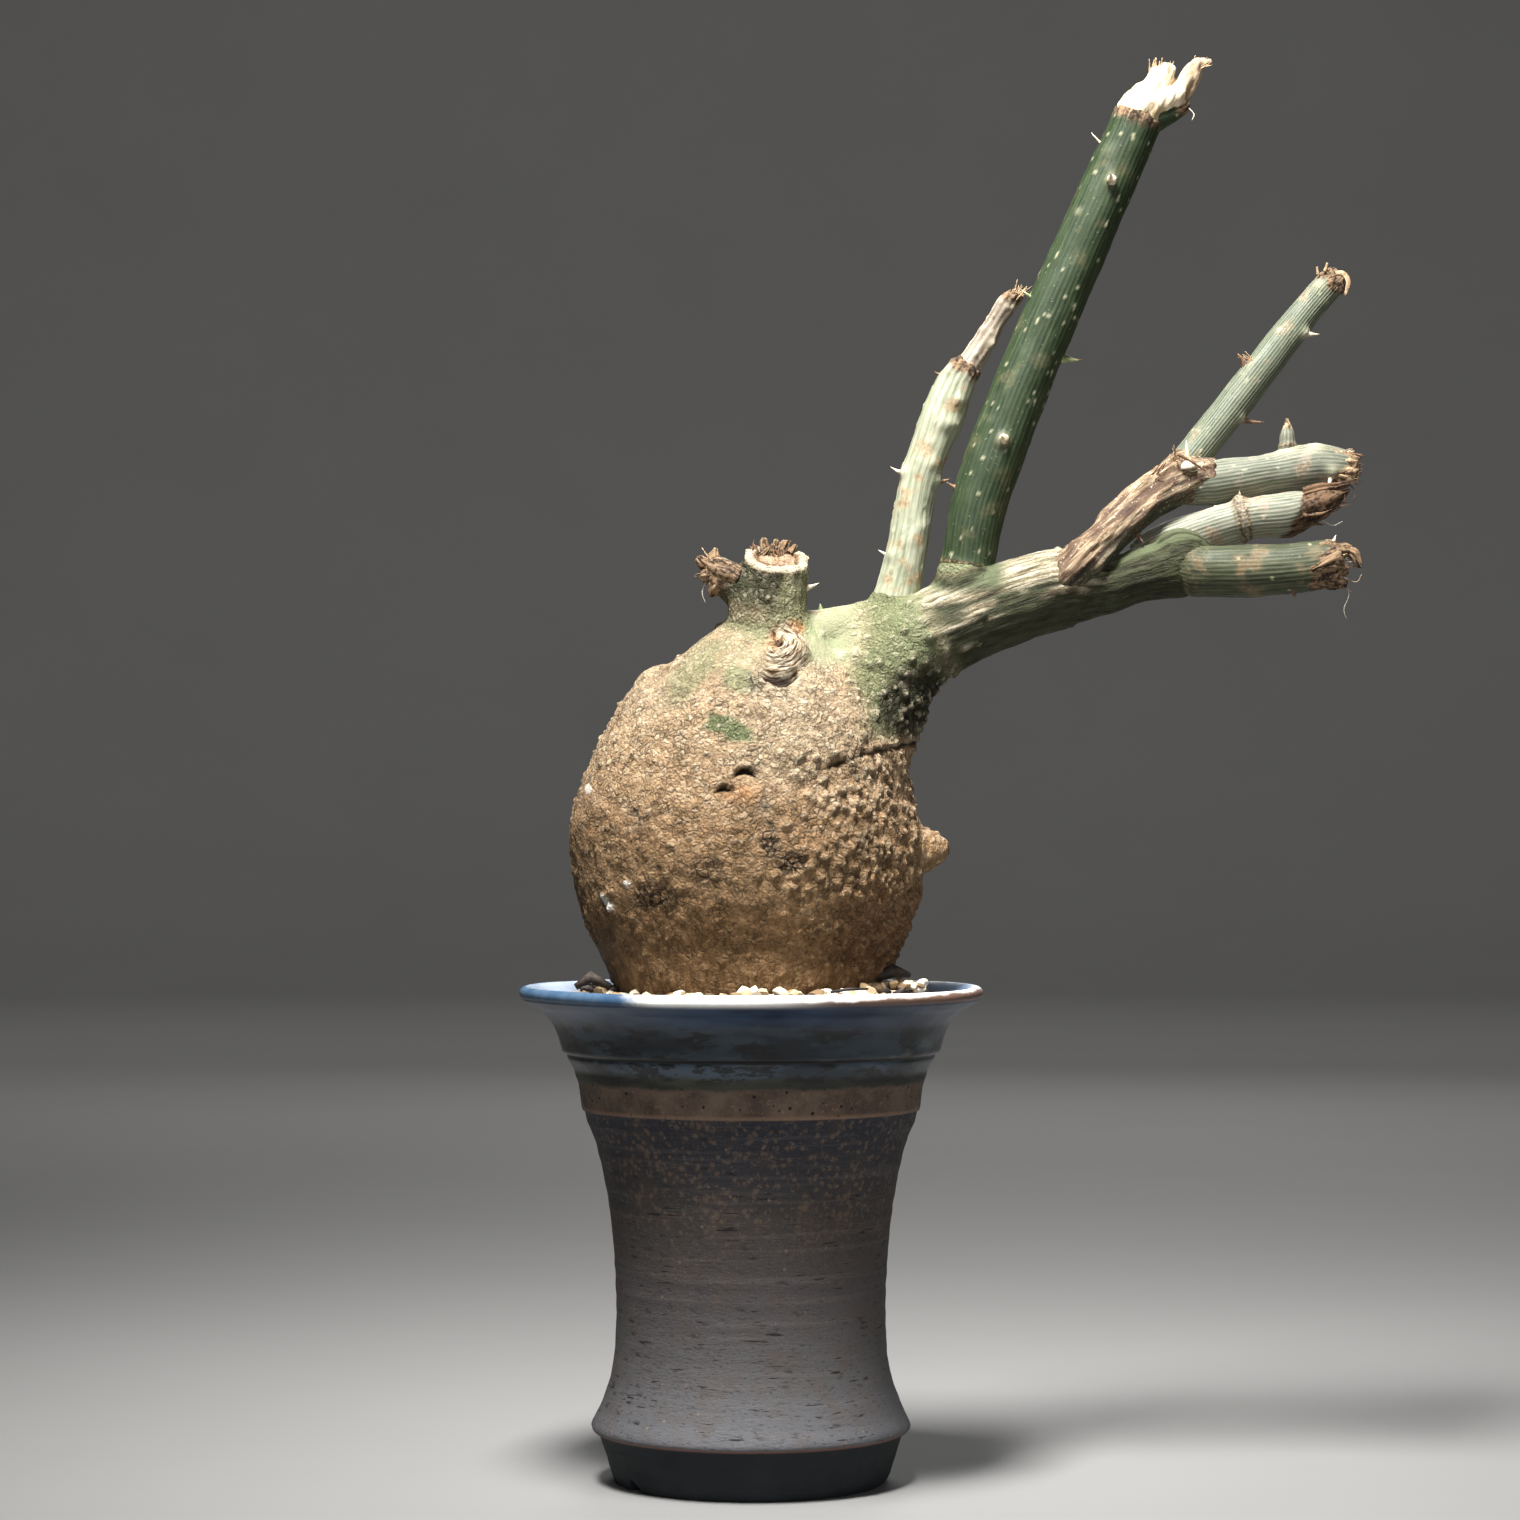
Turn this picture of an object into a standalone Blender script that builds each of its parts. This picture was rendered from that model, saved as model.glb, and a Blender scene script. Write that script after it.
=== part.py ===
# Potted caudex plant: a swollen warty stem with cut-back branches in a turned stoneware pot.
# Lengths are named in millimetres from the pot's axis and its foot, and MM turns them into metres.
# The front is -Y, and the branches lean towards +X.
import math
import random

import bmesh
import bpy
from mathutils import Matrix, Vector
from mathutils.bvhtree import BVHTree

MM = 0.001
GAP = 0.3

# Pot: outer outline from the lip down to the foot, then the inner one back up
POT_STEPS = 32
LIP_RADIUS = 60.0
LIP_HEIGHT = 128.1
LIP_THICKNESS = 3.4
FLARE = [(57.0, 123.5), (54.8, 122.0), (51.6, 119.0), (50.1, 115.8), (48.9, 111.6)]
COLLAR = [(47.6, 110.5), (45.5, 106.0), (44.6, 101.0), (43.8, 95.8)]
WAIST = [(42.6, 93.2), (40.4, 88.0), (38.2, 79.0), (36.2, 66.5), (35.1, 51.5), (35.1, 38.0),
         (36.2, 28.4), (38.6, 21.0), (41.3, 15.2)]
SKIRT_EDGE = [(41.3, 14.0), (40.6, 13.0)]
FOOT_OUTSIDE = [(39.3, 12.6), (38.0, 8.6), (36.4, 3.2), (35.4, 0.9), (34.5, 0.0)]
FOOT_INSIDE = [(29.6, 0.0), (28.0, 5.6)]
DRAIN_RADIUS = 11.0
FLOOR_UNDER = 6.4
FLOOR_TOP = 11.4
UNDER_RADIUS = 26.0
INSIDE = [(29.0, FLOOR_TOP), (30.8, 16.0), (31.0, 44.0), (33.4, 72.0), (37.8, 92.0), (41.0, 104.0),
          (45.0, 114.0), (47.4, 119.6), (52.4, 124.4), (56.4, 127.0)]
FOOT_NOTCH_ANGLES = [-57.0, 83.0, 193.0]
FOOT_NOTCH_RADIUS = 1.7
FOOT_NOTCH_LENGTH = 12.0
FOOT_NOTCH_OUT = 32.0
FOOT_NOTCH_UP = 1.3

# Net over the drain hole
NET_SIZE = 28.0
NET_CELLS = 4
NET_WIRE = 1.2

# Soil, and the bed of pumice on it
SOIL_TOP = 121.5
WALL_CLEARANCE = 0.4
ROOT_CLEARANCE = 0.8
ROOT_POCKET_FLOOR = 87.2
ROOT_POCKET_RADIUS = 9.5
BED_BOTTOM = SOIL_TOP + GAP
BED_OUTLINE = [(35.4, 125.4), (41.0, 125.0), (45.0, 123.6), (47.4, 122.8), (47.0, BED_BOTTOM),
               (34.9, BED_BOTTOM)]
PEBBLE_RINGS = [(40.2, 126.4, 26), (45.0, 124.6, 20)]
PEBBLE_RADIUS = (2.5, 3.0)
PEBBLE_SHAPE = [(0.95, 1.15), (0.8, 1.0), (0.75, 0.9)]
PEBBLE_SEED = 11

# Swollen stem: height, half width and sideways shift of its middle; its depth is a little less
BODY_STEPS = 32
BODY_DEPTH = 0.95
BODY_LEVELS = [(88.0, 0.0, 0.0), (89.5, 9.0, 0.0), (95.0, 19.0, 0.0), (105.0, 27.0, 0.0),
               (115.0, 31.2, 0.0), (122.0, 33.4, 0.0), (130.0, 35.9, -0.7), (137.5, 39.0, -1.0),
               (145.0, 42.4, -1.0), (153.0, 44.9, -0.9), (163.5, 46.0, -1.3), (172.5, 45.0, -1.6),
               (181.5, 42.6, -1.2), (190.5, 40.6, 0.4), (198.0, 37.0, 1.0), (204.0, 32.7, 0.6),
               (209.0, 28.0, 1.4), (213.5, 22.4, 3.0), (218.0, 17.4, 4.0), (222.8, 12.3, 5.0),
               (226.0, 6.0, 5.0), (227.0, 0.0, 5.0)]
ROUND_BELOW = 128.0
REMESH_VOXEL = 1.5
CAUDEX_FACES = 1700
WART_SEED = 5
WART_TRIES = 280
WART_RADIUS = (1.1, 1.7)
WART_HEIGHT = 1.1
WART_LEVELS = (132.0, 219.0)
WART_REACH = 62.0
BODY_MIDDLE = (4.0, 0.0, 166.0)
NECK_MIDDLE = (24.0, 0.0, 196.0)

# Branches: stations of x, y, z and radius
MAIN_BRANCH = [(21.9, 0.0, 190.8, 20.5), (30.5, 1.0, 205.2, 17.0), (38.8, 1.0, 214.3, 13.8),
               (47.9, 0.0, 219.7, 11.7), (60.9, 0.0, 225.4, 11.0), (77.7, -1.0, 230.8, 10.4),
               (86.8, -1.0, 232.1, 8.8), (93.6, -1.0, 232.6, 7.2), (101.4, -1.0, 235.0, 7.0),
               (111.0, -0.6, 237.2, 8.0), (115.0, -0.6, 237.6, 7.6)]
FORK_SWELLING = (112.0, -0.4, 238.4, 8.8)
RIDGE = [(6.0, -1.0, 217.0, 8.0), (20.0, 0.5, 219.2, 7.2), (33.0, 2.0, 221.5, 7.5)]
PALE_COLLAR = [(35.0, 2.0, 214.0, 10.0), (36.6, 3.0, 222.0, 8.0), (37.4, 3.0, 228.0, 6.7)]
TALL_COLLAR = [(54.5, 0.0, 224.0, 10.0), (55.8, 0.0, 232.0, 8.4), (56.0, 0.0, 236.0, 7.9)]
CROWN_STUB = [(4.5, -3.0, 210.0, 13.5), (4.9, -4.0, 218.0, 11.2), (4.4, -5.0, 225.7, 10.3),
              (6.0, -6.0, 233.4, 8.9), (6.7, -7.0, 239.0, 8.5), (7.2, -7.6, 245.0, 8.6)]
CROWN_CUT = (6.7, -7.0, 239.0)
CROWN_CUT_NORMAL = (0.09, -0.45, 0.89)
CROWN_CUT_BLOCK = (24.0, 24.0, 14.0)
PITH_RADIUS = 5.2
PITH_DEPTH = 0.9
PITH_CUTTER = 10.0
SIDE_SHOOT = [(3.0, -5.0, 225.0, 7.0), (-0.3, -5.0, 228.8, 5.6), (-5.4, -5.0, 232.9, 4.8),
              (-9.4, -5.0, 236.0, 4.3)]
SCAR_KNOB = (9.0, -19.0, 212.8, 6.4)
SIDE_KNOB = [(34.0, 0.0, 163.5, 12.0), (40.1, 0.0, 163.5, 9.4), (45.3, 0.0, 163.5, 6.0),
             (48.6, 0.0, 163.7, 4.4), (50.4, 0.0, 163.8, 2.6)]
SHOULDER_BUMP = (-22.2, -3.0, 203.4, 8.7)

TALL_STEM = [(56.0, 0.0, 234.6, 7.0), (56.6, 0.0, 239.0, 6.9), (60.6, 0.0, 257.7, 7.6),
             (72.9, 0.8, 290.1, 7.3), (91.0, 1.6, 331.7, 6.9), (100.9, 2.0, 354.4, 6.6)]
TALL_SPUR = [(103.0, 2.0, 353.4, 3.6), (109.0, 2.0, 355.8, 2.8), (114.4, 2.0, 358.0, 1.5)]
TORN_WOOD = [(101.1, 2.0, 354.9, 6.1), (102.3, 2.0, 357.7, 5.9), (105.2, 2.0, 362.0, 4.2)]
TORN_PRONGS = [
    [(104.6, 2.0, 359.0, 4.2), (106.4, 2.0, 363.6, 3.7), (107.6, 2.0, 368.4, 3.2)],
    [(106.8, 2.0, 360.4, 3.4), (113.0, 2.0, 362.0, 2.5), (114.4, 2.0, 366.4, 2.4),
     (116.0, 2.0, 369.0, 1.6), (120.2, 2.0, 369.6, 0.5)]]
PALE_STEM = [(37.2, 3.0, 226.4, 6.2), (38.6, 3.0, 232.6, 5.9), (41.0, 3.0, 244.0, 5.2),
             (44.1, 4.0, 260.1, 5.0), (48.4, 5.0, 272.0, 5.4), (52.6, 6.0, 283.4, 5.2),
             (55.9, 6.2, 290.0, 4.3)]
PALE_DRY_TIP = [(56.0, 6.2, 289.2, 3.1), (58.4, 6.4, 292.8, 3.0), (66.5, 7.0, 305.5, 2.8),
                (69.6, 7.0, 309.2, 2.1)]
DRY_BRANCH = [(84.2, -7.2, 236.4, 5.3), (88.6, -5.6, 240.8, 5.2), (101.0, 1.2, 252.4, 5.2),
              (108.2, 4.8, 257.7, 5.6), (113.0, 6.3, 259.4, 6.3), (117.6, 7.0, 259.6, 6.8),
              (120.8, 7.2, 259.7, 6.7)]
SLIM_COLLAR = [(108.5, 6.0, 258.5, 5.2), (111.6, 9.2, 261.8, 5.2), (114.6, 11.6, 265.4, 5.0)]
SLIM_STEM = [(113.4, 10.9, 263.9, 4.3), (118.4, 13.0, 269.7, 4.6), (131.8, 16.5, 286.4, 4.5),
             (145.6, 20.5, 304.1, 4.2), (154.8, 23.2, 314.8, 3.9)]
UPPER_STUB = [(119.6, 7.1, 259.7, 5.2), (122.6, 7.4, 259.8, 5.7), (137.4, 8.0, 262.3, 5.3),
              (147.9, 8.0, 263.9, 5.9), (155.4, 8.0, 263.8, 4.8), (158.2, 8.0, 263.9, 3.4)]
BUD_SPUR = [(140.6, 8.0, 265.0, 3.2), (140.8, 8.0, 269.6, 2.2), (140.9, 8.0, 272.6, 1.9),
            (140.8, 8.0, 276.2, 0.5)]
MIDDLE_FORK = [(114.3, 4.4, 245.2, 5.2), (118.6, 3.8, 246.8, 5.5), (129.3, 2.0, 249.8, 5.4),
               (139.2, 2.0, 250.8, 5.7), (145.8, 2.0, 252.7, 4.3)]
LOWER_FORK = [(116.0, -5.0, 235.6, 6.4), (121.0, -5.6, 235.5, 6.7), (134.0, -6.6, 235.9, 6.6),
              (148.3, -8.0, 237.3, 6.1), (151.4, -8.0, 237.9, 5.2)]
RIB_COUNT = 7
RIB_DEPTH = 0.05
STEM_RESOLUTION = 2
SOCKET_CLEARANCE = 0.5

# Thorns: foot, tip and radius at the foot
TALL_THORNS = [
    ((94.0, 1.4, 345.6), (88.6, 1.0, 351.0), 1.3),
    ((93.4, -5.2, 337.0), (92.6, -9.0, 339.6), 2.2),
    ((78.6, 0.8, 292.4), (86.4, 0.8, 291.2), 1.5),
    ((75.2, 0.6, 306.2), (70.4, -2.4, 309.4), 1.4),
    ((65.2, -6.8, 269.6), (64.2, -10.4, 271.0), 2.2),
    ((53.8, -1.0, 257.6), (50.6, -2.0, 259.4), 1.1),
    ((110.6, 1.0, 356.0), (114.6, -2.6, 353.6), 1.0),
]
PALE_THORNS = [
    ((39.8, 3.6, 262.0), (36.6, 3.2, 263.8), 1.3),
    ((48.2, 3.6, 259.8), (51.8, 3.0, 260.4), 1.2),
    ((36.4, 3.0, 240.0), (33.0, 2.4, 242.0), 1.2),
    ((50.6, 6.0, 287.4), (48.0, 5.4, 288.6), 0.9),
    ((50.0, 0.6, 273.0), (50.6, -1.6, 273.6), 2.4),
]
SLIM_THORNS = [
    ((128.2, 15.0, 277.4), (135.4, 14.4, 276.6), 1.3),
    ((145.0, 19.0, 300.2), (150.2, 17.6, 300.0), 1.6),
    ((131.6, 16.6, 291.6), (129.0, 15.6, 293.8), 1.4),
]
DRY_THORNS = [
    ((99.6, -1.6, 246.6), (101.9, -5.0, 243.4), 1.5),
    ((114.0, 5.4, 264.4), (112.8, 2.8, 268.6), 1.2),
    ((111.2, 2.4, 264.0), (117.4, 1.4, 261.0), 1.0),
]
UPPER_THORNS = [((152.0, 3.8, 262.4), (150.2, 1.6, 258.6), 1.6)]
MIDDLE_THORNS = [((127.6, 0.0, 254.0), (127.2, -1.6, 257.2), 1.5)]
LOWER_THORNS = [
    ((150.2, -8.0, 242.6), (151.0, -8.4, 245.2), 0.9),
    ((140.2, -8.0, 230.6), (140.8, -8.6, 228.2), 1.0),
]
CROWN_THORNS = [((13.6, -5.4, 231.4), (17.4, -6.4, 232.4), 1.6)]
RIDGE_BUMPS = [
    ((18.4, 0.0, 224.0), (18.0, -0.4, 228.0), 2.6),
    ((23.4, 0.6, 224.4), (23.8, 0.4, 227.2), 2.4),
]
# Scars that ring a stem: middle, direction, radius of the ring and of its wire
MIDDLE_RING = ((129.3, 2.0, 249.8), (0.98, -0.05, 0.2), 5.5, 0.8)
TALL_RING = ((56.1, 0.0, 235.6), (0.05, 0.0, 1.0), 8.0, 0.7)
RING_STEPS = 16
RING_SIDES = 4

# Torn fibres: middle of the tuft, direction, spread radius, length, count and seed
MIDDLE_FRAY = ((145.2, 2.0, 252.6), (0.86, -0.05, 0.36), 2.8, 10.5, 10, 3)
LOWER_FRAY = ((150.8, -8.0, 237.8), (0.94, -0.15, 0.05), 4.2, 8.0, 9, 4)
UPPER_FRAY = ((157.4, 8.0, 263.9), (0.96, -0.2, -0.1), 2.8, 3.4, 6, 5)
SLIM_FRAY = ((154.4, 23.0, 314.3), (0.72, 0.1, 0.5), 3.0, 5.4, 6, 6)
SIDE_SHOOT_FRAY = ((-8.8, -5.0, 235.4), (-0.72, -0.1, 0.62), 3.2, 6.8, 9, 7)
CROWN_FRAY = ((3.6, -3.2, 240.2), (-0.1, -0.1, 0.98), 4.6, 4.2, 7, 8)
PALE_FRAY = ((69.2, 7.0, 308.8), (0.6, 0.0, 0.75), 1.6, 2.8, 4, 9)
FIBRE_RADIUS = (0.8, 1.2)
FIBRE_TIP = 0.32
FIBRE_SUNK = 1.2

# Colour, roughness
FINISHES = {
    "stoneware": ((0.10, 0.095, 0.10), 0.75),
    "net": ((0.03, 0.03, 0.03), 0.6),
    "soil": ((0.10, 0.065, 0.04), 0.95),
    "pumice": ((0.72, 0.62, 0.45), 0.95),
    "bark": ((0.36, 0.26, 0.15), 0.9),
    "green_stem": ((0.16, 0.26, 0.13), 0.6),
    "pale_stem": ((0.48, 0.52, 0.33), 0.65),
    "dry_wood": ((0.62, 0.48, 0.30), 0.9),
    "grey_wood": ((0.55, 0.50, 0.43), 0.9),
}


def clear_scene():
    for obj in list(bpy.data.objects):
        bpy.data.objects.remove(obj, do_unlink=True)


def new_collection(name):
    collection = bpy.data.collections.new(name)
    bpy.context.scene.collection.children.link(collection)
    return collection


def make_material(name, colour, roughness):
    material = bpy.data.materials.new(name)
    material.use_nodes = True
    shader = material.node_tree.nodes["Principled BSDF"]
    shader.inputs["Base Color"].default_value = (*colour, 1.0)
    shader.inputs["Roughness"].default_value = roughness
    return material


def scaled(point):
    return Vector(point) * MM


def add_mesh_object(name, mesh):
    obj = bpy.data.objects.new(name, mesh)
    workshop.objects.link(obj)
    return obj


# The object's evaluated shape as a plain mesh object of the same name
def baked(obj):
    bpy.context.view_layer.update()
    shape = obj.evaluated_get(bpy.context.evaluated_depsgraph_get())
    mesh = bpy.data.meshes.new_from_object(shape)
    name = obj.name
    matrix = obj.matrix_world.copy()
    bpy.data.objects.remove(obj)
    result = add_mesh_object(name, mesh)
    result.name = name
    result.matrix_world = matrix
    return result


def mesh_object_from(name, build):
    shape = bmesh.new()
    build(shape)
    mesh = bpy.data.meshes.new(name)
    shape.to_mesh(mesh)
    shape.free()
    return add_mesh_object(name, mesh)


def weld(obj, distance):
    shape = bmesh.new()
    shape.from_mesh(obj.data)
    bmesh.ops.remove_doubles(shape, verts=shape.verts, dist=distance * MM)
    bmesh.ops.dissolve_degenerate(shape, edges=shape.edges, dist=distance * MM)
    bmesh.ops.recalc_face_normals(shape, faces=shape.faces)
    shape.to_mesh(obj.data)
    shape.free()


def turned(name, profile, steps, closed=False):
    points = [(radius * MM, 0.0, height * MM) for radius, height in profile]
    edges = [(index, index + 1) for index in range(len(points) - 1)]
    if closed:
        edges.append((len(points) - 1, 0))
    mesh = bpy.data.meshes.new(name)
    mesh.from_pydata(points, edges, [])
    obj = add_mesh_object(name, mesh)
    screw = obj.modifiers.new("turn", "SCREW")
    screw.steps = steps
    screw.render_steps = steps
    screw.use_merge_vertices = True
    screw.merge_threshold = 0.01 * MM
    return baked(obj)


# A closed tube along a smooth curve; ribbed tubes follow a section with shallow grooves
def tube(name, stations, extra=0.0, ribbed=False, resolution=STEM_RESOLUTION):
    curve = bpy.data.curves.new(name, "CURVE")
    curve.dimensions = "3D"
    curve.resolution_u = resolution
    curve.use_fill_caps = True
    if ribbed:
        curve.bevel_mode = "OBJECT"
        curve.bevel_object = rib_section
    else:
        curve.bevel_depth = 1.0
        curve.bevel_resolution = 3
    spline = curve.splines.new("BEZIER")
    spline.bezier_points.add(len(stations) - 1)
    for point, (x, y, z, radius) in zip(spline.bezier_points, stations):
        point.co = scaled((x, y, z))
        point.radius = (radius + extra) * MM
        point.handle_left_type = "AUTO"
        point.handle_right_type = "AUTO"
    obj = bpy.data.objects.new(name, curve)
    workshop.objects.link(obj)
    result = baked(obj)
    bpy.data.curves.remove(curve)
    weld(result, 0.01)
    return result


# A section of unit radius that the stems' curves sweep
def make_rib_section():
    curve = bpy.data.curves.new("rib_section", "CURVE")
    spline = curve.splines.new("POLY")
    count = 2 * RIB_COUNT
    spline.points.add(count - 1)
    for index, point in enumerate(spline.points):
        angle = math.tau * index / count
        radius = 1.0 + (RIB_DEPTH if index % 2 == 0 else -RIB_DEPTH) / 2
        point.co = (radius * math.cos(angle), radius * math.sin(angle), 0.0, 1.0)
    spline.use_cyclic_u = True
    obj = bpy.data.objects.new("rib_section", curve)
    cutters.objects.link(obj)
    obj.hide_render = True
    obj.display_type = "WIRE"
    return obj


# The space that a stem's foot needs in what carries it, with clearance all round
def socket(stations, ribbed=True):
    start = Vector(stations[0][:3])
    back = (start - Vector(stations[1][:3])).normalized() * SOCKET_CLEARANCE
    first = (*(start + back), stations[0][3])
    return tube("socket", [first] + stations[1:], SOCKET_CLEARANCE, ribbed)


def turn_to(direction):
    return Vector(direction).to_track_quat("Z", "Y").to_matrix().to_4x4()


def cone(name, foot, tip, radius, sides=5, top=0.05, sunk=0.8):
    foot_point = scaled(foot)
    axis = scaled(tip) - foot_point
    length = axis.length + sunk * MM
    middle = foot_point + axis.normalized() * (length / 2 - sunk * MM)
    place = Matrix.Translation(middle) @ turn_to(axis)

    def build(shape):
        bmesh.ops.create_cone(shape, cap_ends=True, segments=sides, radius1=radius * MM, radius2=top * MM,
                              depth=length, matrix=place)

    return mesh_object_from(name, build)


def ball(name, centre, radii, turn=Matrix.Identity(4), subdivisions=3):
    place = Matrix.Translation(scaled(centre)) @ turn @ Matrix.Diagonal((*scaled(radii), 1.0))

    def build(shape):
        bmesh.ops.create_icosphere(shape, subdivisions=subdivisions, radius=1.0, matrix=place)

    return mesh_object_from(name, build)


def block(name, centre, size, direction):
    place = Matrix.Translation(scaled(centre)) @ turn_to(direction) @ Matrix.Diagonal((*scaled(size), 1.0))

    def build(shape):
        bmesh.ops.create_cube(shape, size=1.0, matrix=place)

    return mesh_object_from(name, build)


def cylinder(name, centre, direction, radius, length, sides):
    place = Matrix.Translation(scaled(centre)) @ turn_to(direction)
    round_size = radius * MM

    def build(shape):
        bmesh.ops.create_cone(shape, cap_ends=True, segments=sides, radius1=round_size, radius2=round_size,
                              depth=length * MM, matrix=place)

    return mesh_object_from(name, build)


def ring(name, centre, direction, radius, wire):
    profile = []
    for side in range(RING_SIDES):
        angle = -math.tau * side / RING_SIDES
        profile.append((radius + wire * math.cos(angle), wire * math.sin(angle)))
    obj = turned(name, profile, RING_STEPS, closed=True)
    obj.data.transform(Matrix.Translation(scaled(centre)) @ turn_to(direction))
    return obj


# A swept quad isn't quite flat, and a Boolean needs flat faces
def flatten_faces(obj):
    shape = bmesh.new()
    shape.from_mesh(obj.data)
    bmesh.ops.triangulate(shape, faces=shape.faces)
    shape.to_mesh(obj.data)
    shape.free()


def boolean(obj, others, operation):
    group = new_collection("operands")
    flatten_faces(obj)
    for other in others:
        flatten_faces(other)
        group.objects.link(other)
    modifier = obj.modifiers.new("boolean", "BOOLEAN")
    modifier.operand_type = "COLLECTION"
    modifier.collection = group
    modifier.operation = operation
    modifier.solver = "EXACT"
    result = baked(obj)
    for other in others:
        bpy.data.objects.remove(other)
    bpy.data.collections.remove(group)
    weld(result, 0.002)
    return result


def fuse(obj, others):
    return boolean(obj, others, "UNION")


def cut(obj, others):
    return boolean(obj, others, "DIFFERENCE")


def thorns(rows):
    return [cone("thorn", foot, tip, radius) for foot, tip, radius in rows]


# Pointed fibres that stand out of a torn end, bent apart by a seeded draw
def fray(row):
    middle, direction, spread, length, count, seed = row
    draw = random.Random(seed)
    frame = turn_to(direction)
    axis = Vector(direction).normalized()
    fibres = []
    for index in range(count):
        angle = math.tau * (index + draw.uniform(-0.3, 0.3)) / count
        reach = spread * draw.uniform(0.35, 0.95)
        aside = frame @ Vector((math.cos(angle), math.sin(angle), 0.0))
        foot = Vector(middle) + aside * reach - axis * FIBRE_SUNK
        flare = aside * reach * draw.uniform(0.9, 1.6)
        tip = Vector(middle) + flare + axis * length * draw.uniform(0.45, 1.0)
        radius = draw.uniform(*FIBRE_RADIUS)
        fibres.append(cone("fibre", foot, tip, radius, sides=4, top=FIBRE_TIP, sunk=FIBRE_SUNK))
    return fibres


def lip_arc():
    radius = LIP_THICKNESS / 2
    centre = (LIP_RADIUS - radius, LIP_HEIGHT - radius)
    arc = []
    for step in range(4):
        angle = math.radians(90 - 45 * step)
        arc.append((centre[0] + radius * math.cos(angle), centre[1] + radius * math.sin(angle)))
    return arc


def pot_profile():
    outside = lip_arc() + FLARE + COLLAR + WAIST + SKIRT_EDGE
    drain = [(DRAIN_RADIUS, FLOOR_UNDER), (DRAIN_RADIUS, FLOOR_TOP)]
    under = FOOT_OUTSIDE + FOOT_INSIDE + [(UNDER_RADIUS, FLOOR_UNDER)]
    return outside + under + drain + INSIDE


def make_pot():
    pot = turned("pot", pot_profile(), POT_STEPS, closed=True)
    notches = []
    for angle in FOOT_NOTCH_ANGLES:
        turn = math.radians(angle)
        outward = Vector((math.sin(turn), -math.cos(turn), 0.0))
        centre = outward * FOOT_NOTCH_OUT + Vector((0.0, 0.0, FOOT_NOTCH_UP))
        notches.append(cylinder("notch", centre, outward, FOOT_NOTCH_RADIUS, FOOT_NOTCH_LENGTH, 10))
    return cut(pot, notches)


def make_net():
    def build(shape):
        bmesh.ops.create_grid(shape, x_segments=NET_CELLS, y_segments=NET_CELLS, size=NET_SIZE / 2 * MM,
                              matrix=Matrix.Translation((0.0, 0.0, (FLOOR_TOP + GAP + NET_WIRE / 2) * MM)))

    net = mesh_object_from("drain_net", build)
    wires = net.modifiers.new("wires", "WIREFRAME")
    wires.thickness = NET_WIRE * MM
    wires.use_boundary = True
    wires.use_even_offset = False
    return baked(net)


def inside_radius(height):
    for (low_radius, low), (high_radius, high) in zip(INSIDE, INSIDE[1:]):
        if low <= height <= high:
            return low_radius + (high_radius - low_radius) * (height - low) / (high - low)
    return INSIDE[0][0]


def body_radius(height):
    for (low, low_radius, _), (high, high_radius, _) in zip(BODY_LEVELS, BODY_LEVELS[1:]):
        if low <= height <= high:
            return low_radius + (high_radius - low_radius) * (height - low) / (high - low)
    return 0.0


def make_soil():
    bottom = FLOOR_TOP + NET_WIRE + 2 * GAP
    pocket_heights = [level for level, _, _ in BODY_LEVELS if 90.0 < level < 110.0] + [SOIL_TOP]
    pocket = [(body_radius(height) + ROOT_CLEARANCE, height) for height in pocket_heights]
    wall_heights = [height for _, height in INSIDE if bottom < height < SOIL_TOP]
    wall_heights = [SOIL_TOP] + wall_heights[::-1] + [bottom]
    wall = [(inside_radius(height) - WALL_CLEARANCE, height) for height in wall_heights]
    floor = [(0.0, ROOT_POCKET_FLOOR), (ROOT_POCKET_RADIUS, ROOT_POCKET_FLOOR + WALL_CLEARANCE)]
    return turned("soil", floor + pocket + wall + [(0.0, bottom)], POT_STEPS)


def make_top_dressing():
    bed = turned("top_dressing", BED_OUTLINE, POT_STEPS, closed=True)
    draw = random.Random(PEBBLE_SEED)
    pebbles = []
    for radius, height, count in PEBBLE_RINGS:
        for index in range(count):
            angle = math.tau * (index + draw.uniform(-0.25, 0.25)) / count
            out = radius + draw.uniform(-0.4, 0.4)
            centre = (out * math.cos(angle), out * math.sin(angle), height + draw.uniform(-0.5, 0.4))
            size = draw.uniform(*PEBBLE_RADIUS)
            radii = [size * draw.uniform(low, high) for low, high in PEBBLE_SHAPE]
            lean = Matrix.Rotation(draw.uniform(-0.4, 0.4), 4, "X")
            turn = Matrix.Rotation(draw.uniform(0.0, math.tau), 4, "Z") @ lean
            pebbles.append(ball("pebble", centre, radii, turn, subdivisions=1))
    return fuse(bed, pebbles)


def make_body():
    profile = [(radius, height) for height, radius, _ in reversed(BODY_LEVELS)]
    obj = turned("body", profile, BODY_STEPS)
    heights = [level[0] for level in BODY_LEVELS]
    shifts = [level[2] for level in BODY_LEVELS]
    for vertex in obj.data.vertices:
        height = vertex.co.z / MM
        index = max(0, min(len(heights) - 2, sum(level <= height for level in heights) - 1))
        share = (height - heights[index]) / (heights[index + 1] - heights[index])
        shift = shifts[index] + (shifts[index + 1] - shifts[index]) * max(0.0, min(1.0, share))
        flat = BODY_DEPTH if height > ROUND_BELOW else 1.0
        vertex.co.x += shift * MM
        vertex.co.y *= flat
    return obj


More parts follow.
